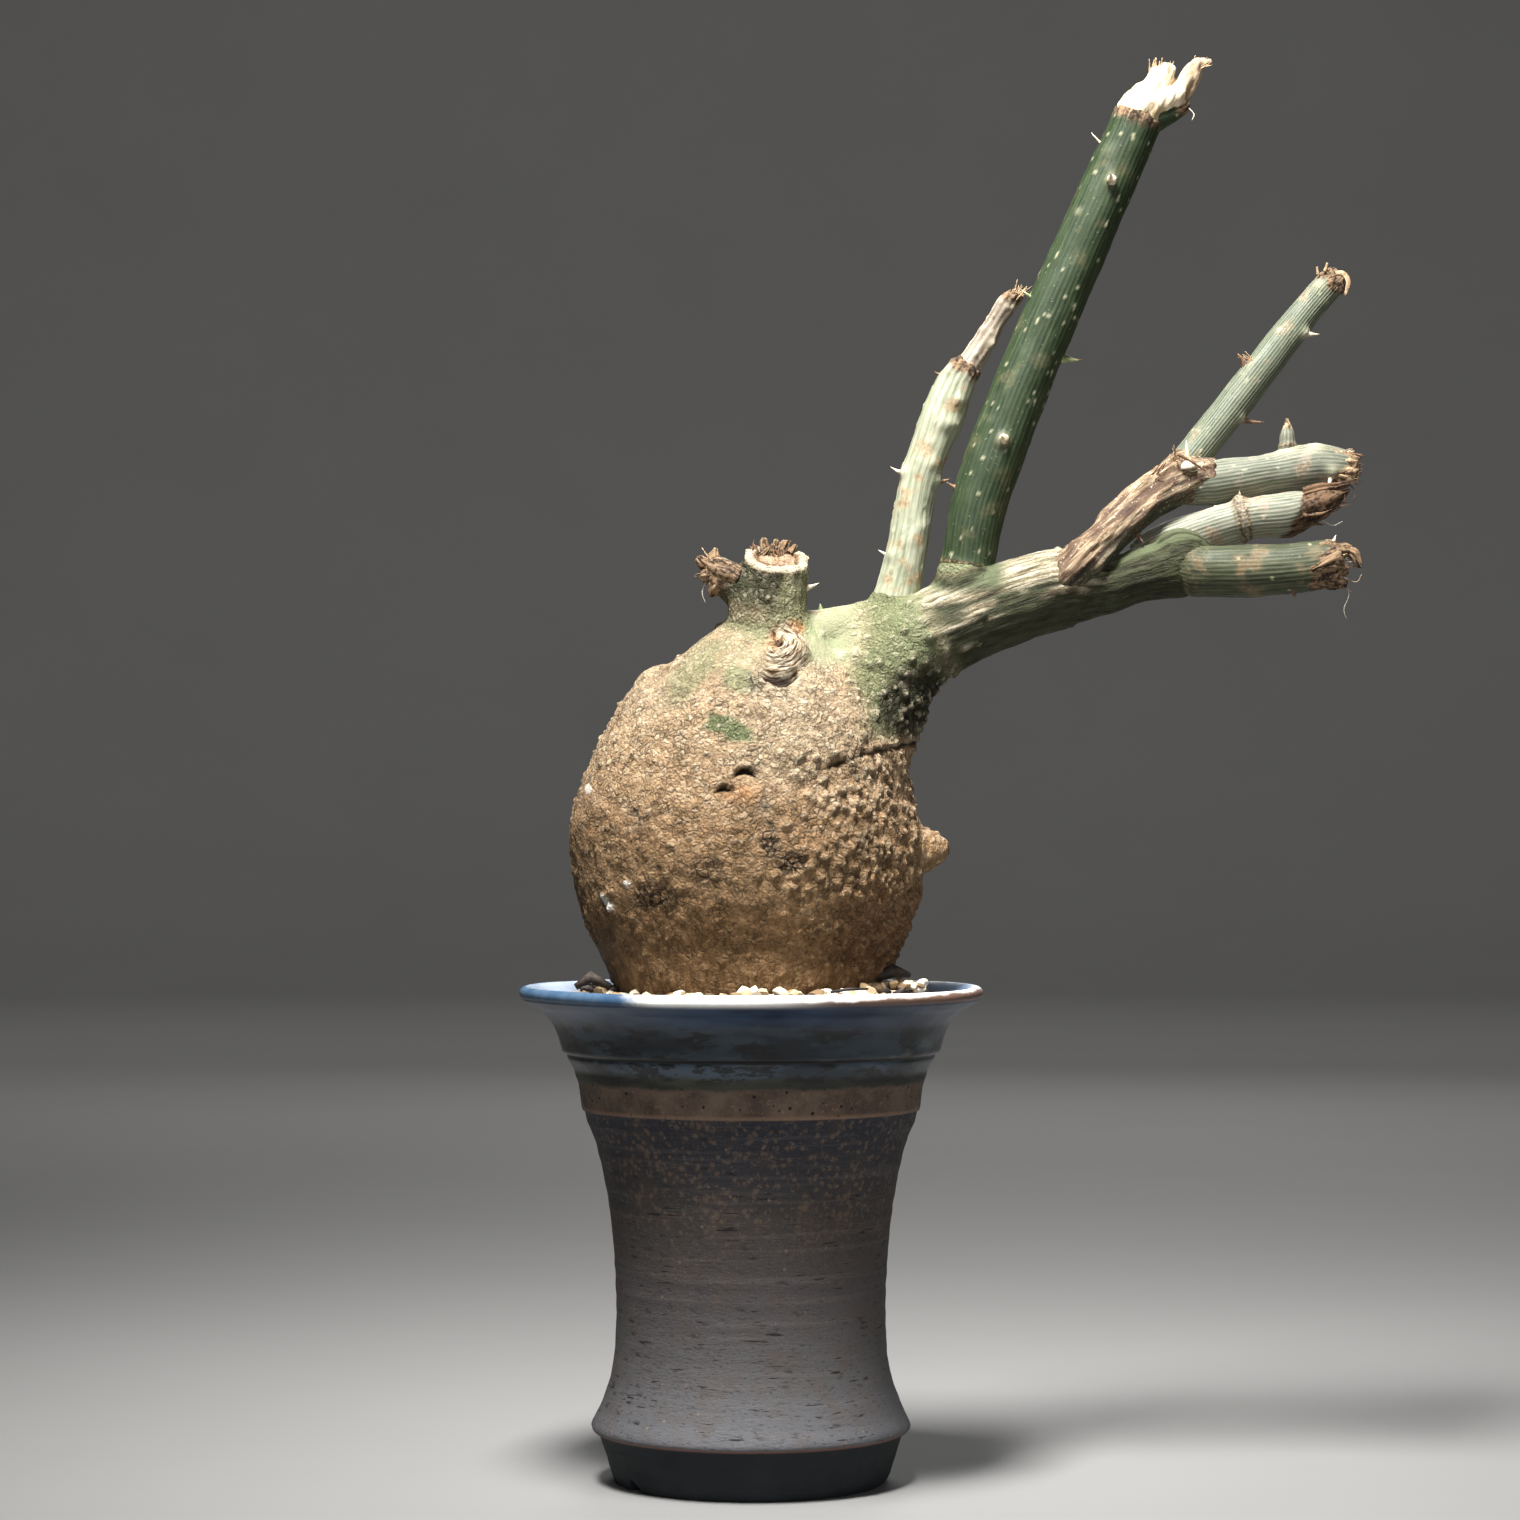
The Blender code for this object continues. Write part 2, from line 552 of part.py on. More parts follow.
def joined(name, objects):
    shape = bmesh.new()
    for obj in objects:
        shape.from_mesh(obj.data)
    mesh = bpy.data.meshes.new(name)
    shape.to_mesh(mesh)
    shape.free()
    for obj in objects:
        bpy.data.objects.remove(obj)
    return add_mesh_object(name, mesh)


# The swollen stem, its neck and the main branch grow together, so their joints are smoothed over
def grown_body():
    x, y, z, radius = FORK_SWELLING
    knob_x, knob_y, knob_z, knob_radius = SCAR_KNOB
    bump_x, bump_y, bump_z, bump_radius = SHOULDER_BUMP
    limbs = [
        make_body(),
        tube("main", MAIN_BRANCH, resolution=6),
        tube("ridge", RIDGE),
        tube("pale_collar", PALE_COLLAR),
        tube("tall_collar", TALL_COLLAR),
        tube("crown", CROWN_STUB),
        tube("side_shoot", SIDE_SHOOT),
        tube("side_knob", SIDE_KNOB),
        ball("fork", (x, y, z), (radius, radius * 0.95, radius)),
        ball("scar", (knob_x, knob_y, knob_z), (knob_radius, knob_radius * 0.9, knob_radius)),
        ball("bump", (bump_x, bump_y, bump_z), (bump_radius, bump_radius, bump_radius)),
    ]
    caudex = joined("caudex", limbs)
    remesh = caudex.modifiers.new("grown", "REMESH")
    remesh.mode = "VOXEL"
    remesh.voxel_size = REMESH_VOXEL * MM
    smooth = caudex.modifiers.new("smooth", "SMOOTH")
    smooth.factor = 0.5
    smooth.iterations = 4
    caudex = baked(caudex)
    thin = caudex.modifiers.new("thin", "DECIMATE")
    thin.ratio = CAUDEX_FACES / (2 * len(caudex.data.polygons))
    return baked(caudex)


# Warts crowd the right side and the neck, and are few elsewhere
def wart_rows(caudex):
    draw = random.Random(WART_SEED)
    shape = bmesh.new()
    shape.from_mesh(caudex.data)
    tree = BVHTree.FromBMesh(shape)
    rows = []
    golden = math.pi * (3.0 - math.sqrt(5.0))
    for index in range(WART_TRIES):
        height = 1.0 - 2.0 * (index + 0.5) / WART_TRIES
        turn = golden * index
        across = math.sqrt(1.0 - height * height)
        direction = Vector((across * math.cos(turn), across * math.sin(turn), height))
        middle = BODY_MIDDLE if height < 0.55 else NECK_MIDDLE
        hit, normal, _, _ = tree.ray_cast(scaled(middle), direction)
        chance = draw.random()
        size = draw.uniform(*WART_RADIUS)
        if hit is None:
            continue
        spot = hit / MM
        wanted = 0.72 if spot.x > 12.0 else 0.12
        in_reach = WART_LEVELS[0] < spot.z < WART_LEVELS[1] and spot.x < WART_REACH
        on_side_knob = spot.x > 42.0 and spot.z < 175.0
        if not in_reach or on_side_knob or chance > wanted:
            continue
        tip = spot + normal * WART_HEIGHT
        rows.append((tuple(spot), tuple(tip), size))
    shape.free()
    return rows


def make_caudex(children):
    caudex = grown_body()
    warts = [cone("wart", foot, tip, radius, sides=4, top=0.55, sunk=0.9)
             for foot, tip, radius in wart_rows(caudex)]
    normal = Vector(CROWN_CUT_NORMAL).normalized()
    above = Vector(CROWN_CUT) + normal * CROWN_CUT_BLOCK[2] / 2
    pith = Vector(CROWN_CUT) + normal * (PITH_CUTTER / 2 - PITH_DEPTH)
    caudex = cut(caudex, [block("crown_cut", above, CROWN_CUT_BLOCK, normal)])
    caudex = cut(caudex, [cylinder("pith", pith, normal, PITH_RADIUS, PITH_CUTTER, 10)])
    extras = warts + thorns(CROWN_THORNS + RIDGE_BUMPS)
    extras += fray(SIDE_SHOOT_FRAY) + fray(CROWN_FRAY) + [ring("tall_ring", *TALL_RING)]
    caudex = fuse(caudex, extras)
    return cut(caudex, [socket(stations) for stations in children])


def make_tall_stem():
    stem = tube("tall_stem", TALL_STEM, ribbed=True)
    return fuse(stem, [tube("spur", TALL_SPUR)] + thorns(TALL_THORNS))


def make_torn_tip():
    tip = tube("tall_stem_torn_tip", TORN_WOOD)
    tip = fuse(tip, [tube("prong", stations) for stations in TORN_PRONGS])
    return cut(tip, [socket(TALL_SPUR, ribbed=False)])


def make_pale_stem():
    stem = tube("pale_stem", PALE_STEM, ribbed=True)
    stem = fuse(stem, thorns(PALE_THORNS))
    return cut(stem, [socket(PALE_DRY_TIP, ribbed=False)])


def make_pale_tip():
    return fuse(tube("pale_stem_dry_tip", PALE_DRY_TIP), fray(PALE_FRAY))


def make_dry_branch():
    branch = tube("dry_branch", DRY_BRANCH, ribbed=True)
    branch = fuse(branch, [tube("slim_collar", SLIM_COLLAR)] + thorns(DRY_THORNS))
    return cut(branch, [socket(stations) for stations in (UPPER_STUB, SLIM_STEM)])


def make_branch(name, stations, thorn_rows, fray_row, extras=()):
    stem = tube(name, stations, ribbed=True)
    return fuse(stem, [*extras, *thorns(thorn_rows), *fray(fray_row)])


def make_upper_stub():
    return make_branch("upper_stub", UPPER_STUB, UPPER_THORNS, UPPER_FRAY, [tube("bud", BUD_SPUR)])


def make_middle_fork():
    return make_branch("middle_fork", MIDDLE_FORK, MIDDLE_THORNS, MIDDLE_FRAY, [ring("scar", *MIDDLE_RING)])


# Stands the part on the ground with the middle of its outer box over the origin
def centre_on_box(objects):
    corners = [vertex.co for obj in objects for vertex in obj.data.vertices]
    lows = [min(corner[axis] for corner in corners) for axis in range(3)]
    highs = [max(corner[axis] for corner in corners) for axis in range(3)]
    base = bpy.data.objects.new("base", None)
    plant.objects.link(base)
    base.location = (-(lows[0] + highs[0]) / 2, -(lows[1] + highs[1]) / 2, -lows[2])
    for obj in objects:
        obj.parent = base


def finish(obj, finish_name):
    workshop.objects.unlink(obj)
    plant.objects.link(obj)
    obj.data.materials.clear()
    obj.data.materials.append(materials[finish_name])
    for polygon in obj.data.polygons:
        polygon.use_smooth = True
    obj.data.set_sharp_from_angle(angle=math.radians(40))
    return obj


clear_scene()
plant = new_collection("potted_caudex_plant")
workshop = new_collection("workshop")
cutters = new_collection("cutters")
materials = {name: make_material(name, colour, roughness) for name, (colour, roughness) in FINISHES.items()}
rib_section = make_rib_section()

caudex = make_caudex([TALL_STEM, PALE_STEM, DRY_BRANCH, MIDDLE_FORK, LOWER_FORK])
parts = [
    finish(make_pot(), "stoneware"),
    finish(make_net(), "net"),
    finish(make_soil(), "soil"),
    finish(make_top_dressing(), "pumice"),
    finish(caudex, "bark"),
    finish(make_tall_stem(), "green_stem"),
    finish(make_torn_tip(), "dry_wood"),
    finish(make_pale_stem(), "pale_stem"),
    finish(make_pale_tip(), "grey_wood"),
    finish(make_dry_branch(), "dry_wood"),
    finish(make_branch("slim_stem", SLIM_STEM, SLIM_THORNS, SLIM_FRAY), "green_stem"),
    finish(make_upper_stub(), "green_stem"),
    finish(make_middle_fork(), "green_stem"),
    finish(make_branch("lower_fork", LOWER_FORK, LOWER_THORNS, LOWER_FRAY), "green_stem"),
]
centre_on_box(parts)
bpy.data.objects.remove(rib_section)
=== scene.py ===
# A potted caudex plant: its looks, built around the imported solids.
# Places are in millimetres from the pot's axis and foot; mm turns them into metres.
import math
import random

import bmesh
import bpy
import numpy as np
from mathutils import Matrix, Vector
from mathutils.kdtree import KDTree


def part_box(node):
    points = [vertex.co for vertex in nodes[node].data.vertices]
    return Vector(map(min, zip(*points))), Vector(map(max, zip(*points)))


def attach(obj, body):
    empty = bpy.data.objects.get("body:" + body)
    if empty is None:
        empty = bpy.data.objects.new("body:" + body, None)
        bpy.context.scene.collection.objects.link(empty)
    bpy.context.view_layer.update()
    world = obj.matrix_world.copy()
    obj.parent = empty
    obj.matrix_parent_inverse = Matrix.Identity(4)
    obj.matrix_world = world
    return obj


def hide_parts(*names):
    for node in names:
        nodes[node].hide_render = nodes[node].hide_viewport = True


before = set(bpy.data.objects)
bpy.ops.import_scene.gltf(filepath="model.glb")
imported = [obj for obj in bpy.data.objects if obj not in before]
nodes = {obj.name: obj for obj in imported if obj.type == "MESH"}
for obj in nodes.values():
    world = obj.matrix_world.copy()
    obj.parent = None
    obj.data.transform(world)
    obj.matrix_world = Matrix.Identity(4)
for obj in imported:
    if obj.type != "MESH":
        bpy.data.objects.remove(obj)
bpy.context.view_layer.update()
mm = 0.001
potLow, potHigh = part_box("pot")
potX = (potLow.x + potHigh.x) / 2 / mm  # the pot's axis

print("scene: frame loaded")


# Numbers and points


def paint(red, green, blue):
    channels = [value / 255 for value in (red, green, blue)]
    linear = [value / 12.92 if value <= 0.04045 else ((value + 0.055) / 1.055) ** 2.4 for value in channels]
    return (*linear, 1.0)


def place(x, y, z):
    return Vector((potX + x, y, z)) * mm


def pointsOf(piece):
    values = np.empty(len(piece.data.vertices) * 3)
    piece.data.vertices.foreach_get("co", values)
    return values.reshape(-1, 3) / mm - (potX, 0.0, 0.0)


def setPoints(piece, points):
    piece.data.vertices.foreach_set("co", ((points + (potX, 0.0, 0.0)) * mm).ravel())
    piece.data.update()


def normalsOf(piece):
    values = np.empty(len(piece.data.vertices) * 3)
    piece.data.vertex_normals.foreach_get("vector", values)
    return values.reshape(-1, 3)


# Four values a point, which the materials read by the attribute's name
def setMask(piece, name, columns):
    attribute = piece.data.attributes.get(name) or piece.data.attributes.new(name, "FLOAT_COLOR", "POINT")
    values = np.ones((len(piece.data.vertices), 4))
    for index, column in enumerate(columns):
        values[:, index] = column
    attribute.data.foreach_set("color", values.ravel())


def setVector(piece, name, points):
    attribute = piece.data.attributes.get(name) or piece.data.attributes.new(name, "FLOAT_VECTOR", "POINT")
    attribute.data.foreach_set("vector", np.asarray(points, float).ravel())


def ease(values, low, high):
    share = np.clip((values - low) / (high - low), 0.0, 1.0)
    return share * share * (3.0 - 2.0 * share)


def unit(vectors):
    return vectors / np.maximum(np.linalg.norm(vectors, axis=-1, keepdims=True), 1e-9)


mixers = np.array([73856093, 19349663, 83492791], dtype=np.int64)
stirrer = np.int64(1274126177)


# A repeatable value from 0 to 1 for each whole-number cell
def cellValue(cells, seed):
    mixed = (cells.astype(np.int64) * mixers).sum(axis=-1) + np.int64(seed * 7919)
    mixed = (mixed ^ (mixed >> 13)) * stirrer
    return ((mixed ^ (mixed >> 15)) & 65535) / 65535.0


# Smooth lumps about `size` across, from -1 to 1
def lumps(points, size, seed=0):
    scaled = np.asarray(points) / size + 0.37 * seed
    base = np.floor(scaled)
    local = scaled - base
    blend = local * local * (3.0 - 2.0 * local)
    total = np.zeros(len(scaled))
    for corner in np.ndindex(2, 2, 2):
        weight = np.ones(len(scaled))
        for axis, step in enumerate(corner):
            weight = weight * (blend[:, axis] if step else 1.0 - blend[:, axis])
        total += weight * cellValue(base + corner, seed)
    return total * 2.0 - 1.0


def roughLumps(points, size, layers, seed=0):
    total = np.zeros(len(points))
    for layer in range(layers):
        total += lumps(points, size / 2**layer, seed + layer) / 2**layer
    return total


# Distance to the nearest and the second nearest of scattered spots, and a value for the nearest one
def scatterCells(points, size, seed=0):
    scaled = np.asarray(points) / size
    base = np.floor(scaled)
    first = np.full(len(scaled), 9.0)
    second = np.full(len(scaled), 9.0)
    value = np.zeros(len(scaled))
    for step in np.ndindex(3, 3, 3):
        cell = base + step - 1
        spot = cell + np.stack([cellValue(cell, seed + shift) for shift in (1, 2, 3)], axis=-1)
        distance = np.linalg.norm(scaled - spot, axis=1)
        closer = distance < first
        second = np.where(closer, first, np.minimum(second, distance))
        value = np.where(closer, cellValue(cell, seed + 4), value)
        first = np.minimum(first, distance)
    return first, second, value


# How near each point is to a set of spots: the distance, and which spot
def nearestSpots(points, spots):
    tree = KDTree(len(spots))
    for index, spot in enumerate(spots):
        tree.insert(spot, index)
    tree.balance()
    found = [tree.find(point) for point in points]
    return np.array([hit[2] for hit in found]), np.array([hit[1] for hit in found])


# Objects


def selectOnly(*pieces):
    bpy.ops.object.select_all(action="DESELECT")
    for piece in pieces:
        piece.select_set(True)
    bpy.context.view_layer.objects.active = pieces[0]


def applyModifier(piece, kind, **settings):
    selectOnly(piece)
    modifier = piece.modifiers.new(kind.lower(), kind)
    for name, value in settings.items():
        setattr(modifier, name, value)
    bpy.ops.object.modifier_apply(modifier=modifier.name)


def mergeDoubles(piece, distance):
    selectOnly(piece)
    bpy.ops.object.mode_set(mode="EDIT")
    bpy.ops.mesh.select_all(action="SELECT")
    bpy.ops.mesh.remove_doubles(threshold=distance * mm)
    bpy.ops.mesh.normals_make_consistent(inside=False)
    bpy.ops.object.mode_set(mode="OBJECT")


def joinPieces(main, others):
    if others:
        selectOnly(main, *others)
        bpy.ops.object.join()
    return main


def linked(name, mesh):
    piece = bpy.data.objects.new(name, mesh)
    bpy.context.scene.collection.objects.link(piece)
    return piece


# Turns an outline of radius and height round the pot's axis
def turned(name, outline, steps, closed, distance):
    mesh = bpy.data.meshes.new(name)
    corners = [(radius * mm, 0.0, height * mm) for radius, height in outline]
    edges = [(index, (index + 1) % len(corners)) for index in range(len(corners) - (0 if closed else 1))]
    mesh.from_pydata(corners, edges, [])
    piece = linked(name, mesh)
    applyModifier(piece, "SCREW", steps=steps, render_steps=steps, use_merge_vertices=True,
                  merge_threshold=0.01 * mm)
    piece.data.transform(Matrix.Translation((potX * mm, 0.0, 0.0)))
    mergeDoubles(piece, distance)
    return piece


def nodeCopy(nodeName, pieceName):
    piece = linked(pieceName, nodes[nodeName].data.copy())
    piece.data.materials.clear()
    mergeDoubles(piece, 0.005)
    return piece


def dress(pieces, *materials):
    for piece in pieces if isinstance(pieces, list) else [pieces]:
        for material in materials:
            piece.data.materials.append(material)


def settle(piece, nodeName, smooth=True):
    if smooth:
        selectOnly(piece)
        bpy.ops.object.shade_smooth()
    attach(piece, "root")
    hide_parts(nodeName)
    print("scene:", piece.name, len(piece.data.polygons), "faces")


# Swept shapes


# An evenly spaced smooth line through stations of x, y, z and radius
def evenLine(stations, count):
    knots = np.array(stations, float)
    knots = np.vstack([2 * knots[0] - knots[1], knots, 2 * knots[-1] - knots[-2]])
    spans = len(knots) - 3
    where = np.linspace(0, spans, 40 * spans + 1)
    span = np.minimum(where.astype(int), spans - 1)
    t = (where - span)[:, None]
    a, b, c, d = (knots[span + step] for step in range(4))
    rough = 0.5 * (2 * b + (c - a) * t + (2 * a - 5 * b + 4 * c - d) * t**2 + (3 * b - a - 3 * c + d) * t**3)
    steps = np.linalg.norm(np.diff(rough[:, :3], axis=0), axis=1)
    reached = np.concatenate([[0.0], np.cumsum(steps)])
    along = np.linspace(0, reached[-1], count)
    return np.column_stack([np.interp(along, reached, column) for column in rough.T]), along


def axesAlong(line):
    ahead = unit(np.gradient(line[:, :3], axis=0))
    front = np.array([0.0, -1.0, 0.0]) + 0 * ahead
    front = unit(front - ahead * (ahead * front).sum(axis=1, keepdims=True))
    return ahead, front, np.cross(ahead, front)


# A grid wrapped round a line. The last rings close the far end, and the first ring the near one.
def sweptGrid(name, stations, sides, rings, capRings=6):
    bpy.ops.object.select_all(action="DESELECT")
    bpy.ops.mesh.primitive_grid_add(x_subdivisions=sides, y_subdivisions=rings, size=1.0)
    piece = bpy.context.object
    piece.name = name
    values = np.empty(len(piece.data.vertices) * 3)
    piece.data.vertices.foreach_get("co", values)
    spread = values.reshape(-1, 3) + 0.5
    turn = spread[:, 0] * math.tau
    ring = np.rint(spread[:, 1] * rings).astype(int)
    last = rings - capRings
    line, along = evenLine(stations, last)
    ahead, front, side = axesAlong(line)
    index = np.clip(ring - 1, 0, last - 1)
    inner = np.where(ring == 0, 0.0, np.clip((rings - ring) / capRings, 0.0, 1.0))
    grid = {"turn": turn, "along": along[index], "radius": line[index, 3],
            "centre": line[index, :3], "ahead": ahead[index], "inner": inner, "cap": ring > last}
    grid["out"] = front[index] * np.cos(turn)[:, None] + side[index] * np.sin(turn)[:, None]
    reach = grid["radius"] * inner
    grid["straight"] = np.column_stack([reach * np.cos(turn), reach * np.sin(turn), grid["along"]])
    grid["plain"] = grid["centre"] + grid["out"] * reach[:, None]
    return piece, grid


def shapeGrid(piece, grid, raised=0.0, endRaised=0.0):
    reach = (grid["radius"] + raised) * grid["inner"]
    lift = endRaised * grid["cap"]
    setPoints(piece, grid["centre"] + grid["out"] * reach[:, None] + grid["ahead"] * lift[:, None])
    return piece


# A plain rounded sweep, to be melted together with others
def sweptForm(stations, sides=48):
    length = sum(math.dist(first[:3], second[:3]) for first, second in zip(stations, stations[1:]))
    piece, grid = sweptGrid("form", stations, sides, int(length) + 8, capRings=5)
    dome = np.sqrt(np.clip(1.0 - grid["inner"] ** 2, 0.0, 1.0)) * grid["radius"] * 0.35
    grid["inner"] = np.where(grid["cap"], np.sqrt(grid["inner"]), grid["inner"])
    shapeGrid(piece, grid, 0.0, dome)
    mergeDoubles(piece, 0.01)
    return piece


def ballForm(centre, radius):
    bpy.ops.object.select_all(action="DESELECT")
    bpy.ops.mesh.primitive_ico_sphere_add(subdivisions=4, radius=radius * mm, location=place(*centre))
    bpy.ops.object.transform_apply(location=True, rotation=False, scale=False)
    return bpy.context.object


# Melts closed forms into one even skin
def melt(name, forms, voxel, smoothing):
    piece = joinPieces(forms[0], forms[1:])
    piece.name = name
    applyModifier(piece, "REMESH", mode="VOXEL", voxel_size=voxel * mm)
    applyModifier(piece, "SMOOTH", factor=0.5, iterations=smoothing)
    return piece


# Where points lie along a line, and round it from the side that faces the viewer
def followLine(points, stations, count=160):
    line, along = evenLine(stations, count)
    ahead, front, side = axesAlong(line)
    index = np.zeros(len(points), int)
    for start in range(0, len(points), 20000):
        chunk = points[start:start + 20000]
        index[start:start + 20000] = ((chunk[:, None] - line[None, :, :3]) ** 2).sum(axis=-1).argmin(axis=1)
    offset = points - line[index, :3]
    forward = (offset * front[index]).sum(axis=1)
    sideways = (offset * side[index]).sum(axis=1)
    reached = along[index] + (offset * ahead[index]).sum(axis=1)
    return {"along": reached, "turn": np.arctan2(sideways, forward), "distance": np.hypot(forward, sideways),
            "straight": np.column_stack([forward, sideways, reached])}


# A thin tapering strand through points, for thorns, fibres, twigs and hairs
def addStrand(shape, points, radii, sides=5, flat=1.0, material=0):
    line = np.array(points, float)
    _, front, side = axesAlong(line)
    rings = []
    for index, radius in enumerate(radii):
        ring = []
        for step in range(sides):
            angle = math.tau * step / sides
            offset = front[index] * math.cos(angle) * radius * flat + side[index] * math.sin(angle) * radius
            ring.append(shape.verts.new(place(*(line[index] + offset))))
        rings.append(ring)
    faces = [shape.faces.new(list(reversed(rings[0]))), shape.faces.new(rings[-1])]
    for low, high in zip(rings, rings[1:]):
        for step in range(sides):
            following = (step + 1) % sides
            faces.append(shape.faces.new([low[step], low[following], high[following], high[step]]))
    for face in faces:
        face.material_index = material


def strandPiece(name, build):
    shape = bmesh.new()
    build(shape)
    bmesh.ops.recalc_face_normals(shape, faces=shape.faces)
    mesh = bpy.data.meshes.new(name)
    shape.to_mesh(mesh)
    shape.free()
    return linked(name, mesh)


def addThorn(shape, foot, tip, radius, material):
    foot = np.array(foot, float)
    tip = np.array(tip, float)
    axis = unit(tip - foot)
    stops = [-1.2, 0.0, 0.22, 0.5, 0.8, 1.0]
    widths = [1.9, 1.5, 0.85, 0.5, 0.25, 0.05]
    length = np.linalg.norm(tip - foot)
    droop = np.array([0.0, 0.0, -0.06 * length])
    points = [foot + axis * stops[0]] + [foot + axis * length * stop + droop * math.sin(math.pi * stop)
                                         for stop in stops[1:]]
    addStrand(shape, points, [radius * width for width in widths], sides=8, material=material)


# Torn fibres, which start inside the end, spread and curl
def addFibres(shape, middle, ahead, spread, longest, count, thickness, curl, mostFlare, seed, material):
    draw = random.Random(seed)
    middle = np.array(middle, float)
    axis = unit(np.array(ahead, float))
    front = unit(np.cross(axis, (0.13, 0.2, 0.95)))
    side = np.cross(axis, front)
    for _ in range(count):
        angle = draw.uniform(0, math.tau)
        reach = spread * math.sqrt(draw.uniform(0.05, 1.0))
        aside = front * math.cos(angle) + side * math.sin(angle)
        foot = middle + aside * reach - axis * draw.uniform(1.0, 2.5)
        length = longest * draw.uniform(0.35, 1.0)
        bend = unit(np.array([draw.gauss(0, 1) for _ in range(3)])) * curl * length
        flare = aside * draw.uniform(0.0, mostFlare) * length
        steps = 5
        points = []
        for step in range(steps + 1):
            share = step / steps
            points.append(foot + axis * (length + 1.5) * share + bend * share**2 + flare * share**1.5)
        width = thickness * draw.uniform(0.5, 1.3)
        radii = [width * (1.0 - 0.8 * (step / steps) ** 1.5) for step in range(steps + 1)]
        addStrand(shape, points, radii, sides=4, flat=draw.uniform(0.35, 1.0), material=material)


# Finishes


finish = {}


def newFinish(name, roughness, specular=0.5):
    material = bpy.data.materials.new(name)
    material.use_nodes = True
    finish["tree"] = material.node_tree
    finish["shader"] = material.node_tree.nodes["Principled BSDF"]
    finish["shader"].inputs["Roughness"].default_value = roughness
    finish["shader"].inputs["Specular IOR Level"].default_value = specular
    return material


def feed(label, value):
    finish["tree"].links.new(value, finish["shader"].inputs[label])


def addNode(kind, inputs=None, **settings):
    node = finish["tree"].nodes.new("ShaderNode" + kind)
    for name, value in settings.items():
        setattr(node, name, value)
    for name, value in (inputs or {}).items():
        if isinstance(value, bpy.types.NodeSocket):
            finish["tree"].links.new(value, node.inputs[name])
        else:
            node.inputs[name].default_value = value
    return node


def calc(operation, first, second, third=0.0):
    return addNode("Math", {0: first, 1: second, 2: third}, operation=operation).outputs[0]


def times(first, second):
    return calc("MULTIPLY", first, second)


def plus(first, second):
    return calc("ADD", first, second)


def minus(first, second):
    return calc("SUBTRACT", first, second)


def timesPlus(first, second, third):
    return calc("MULTIPLY_ADD", first, second, third)


# A colour is a node's output, four linear values, or red, green and blue out of 255.
def blend(share, first, second, how="MIX"):
    first, second = (paint(*tint) if isinstance(tint, tuple) and
                     len(tint) == 3 else tint for tint in (first, second))
    return addNode("Mix", {0: share, 6: first, 7: second}, data_type="RGBA", blend_type=how).outputs[2]


def between(value, low, high, toLow=0.0, toHigh=1.0):
    inputs = {"Value": value, "From Min": low, "From Max": high, "To Min": toLow, "To Max": toHigh}
    return addNode("MapRange", inputs, interpolation_type="SMOOTHSTEP").outputs["Result"]


# Lays a second colour over the first where the share is high
def cover(colour, tint, share, most=None):
    return blend(share if most is None else times(share, most), colour, tint)


# Two colours mixed by a pattern
def mottle(pattern, low, high, first, second):
    return blend(between(pattern, low, high), first, second)


# The object's own coordinates in millimetres from the pot's axis
def millimetres(stretch=(1.0, 1.0, 1.0)):
    inputs = {"Vector": addNode("TexCoord").outputs["Object"], "Location": (-potX * stretch[0], 0.0, 0.0),
              "Scale": [value / mm for value in stretch]}
    return addNode("Mapping", inputs).outputs[0]


# Coordinates that a shape carries with it, in millimetres
def carried(name, stretch=(1.0, 1.0, 1.0)):
    vector = addNode("Attribute", attribute_name=name).outputs["Vector"]
    return addNode("Mapping", {"Vector": vector, "Scale": stretch}).outputs[0]


def masks(name):
    attribute = addNode("Attribute", attribute_name=name)
    split = addNode("SeparateColor", {"Color": attribute.outputs["Color"]})
    return [*split.outputs, attribute.outputs["Alpha"]]


def grain(vector, size, detail=4.0, roughness=0.6, distortion=0.0):
    inputs = {"Vector": vector, "Scale": 1.0 / size, "Detail": detail, "Roughness": roughness,
              "Distortion": distortion}
    return addNode("TexNoise", inputs).outputs["Fac"]


def spots(vector, size, feature="F1"):
    return addNode("TexVoronoi", {"Vector": vector, "Scale": 1.0 / size}, feature=feature).outputs["Distance"]


# A pattern's coordinates, bent by soft noise so that its cells look torn and not ruled
def bent(vector, size, amount):
    noise = addNode("TexNoise", {"Vector": vector, "Scale": 1.0 / size, "Detail": 2.0}).outputs["Color"]
    centred = addNode("VectorMath", {0: noise, 1: (0.5, 0.5, 0.5)}, operation="SUBTRACT").outputs[0]
    reach = [2.0 * amount] * 3
    return addNode("VectorMath", {0: centred, 1: reach, 2: vector}, operation="MULTIPLY_ADD").outputs[0]


# One value from 0 to 1 for each cell
def cellTint(vector, size):
    colour = addNode("TexVoronoi", {"Vector": vector, "Scale": 1.0 / size}).outputs["Color"]
    return addNode("SeparateColor", {"Color": colour}).outputs[0]


def shades(value, *stops):
    node = addNode("ValToRGB", {"Fac": value})
    elements = node.color_ramp.elements
    while len(elements) < len(stops):
        elements.new(0.5)
    for element, (position, colour) in zip(elements, stops):
        element.position = position
        element.color = paint(*colour)
    return node.outputs["Color"]


# Each height's relief lies on the one before: its height, distance in mm and strength
def relief(*layers):
    normal = {}
    for height, distance, strength in layers:
        inputs = {"Height": height, "Distance": distance * mm, "Strength": strength, **normal}
        normal = {"Normal": addNode("Bump", inputs).outputs["Normal"]}
    feed("Normal", normal["Normal"])


# Camera, floor and light

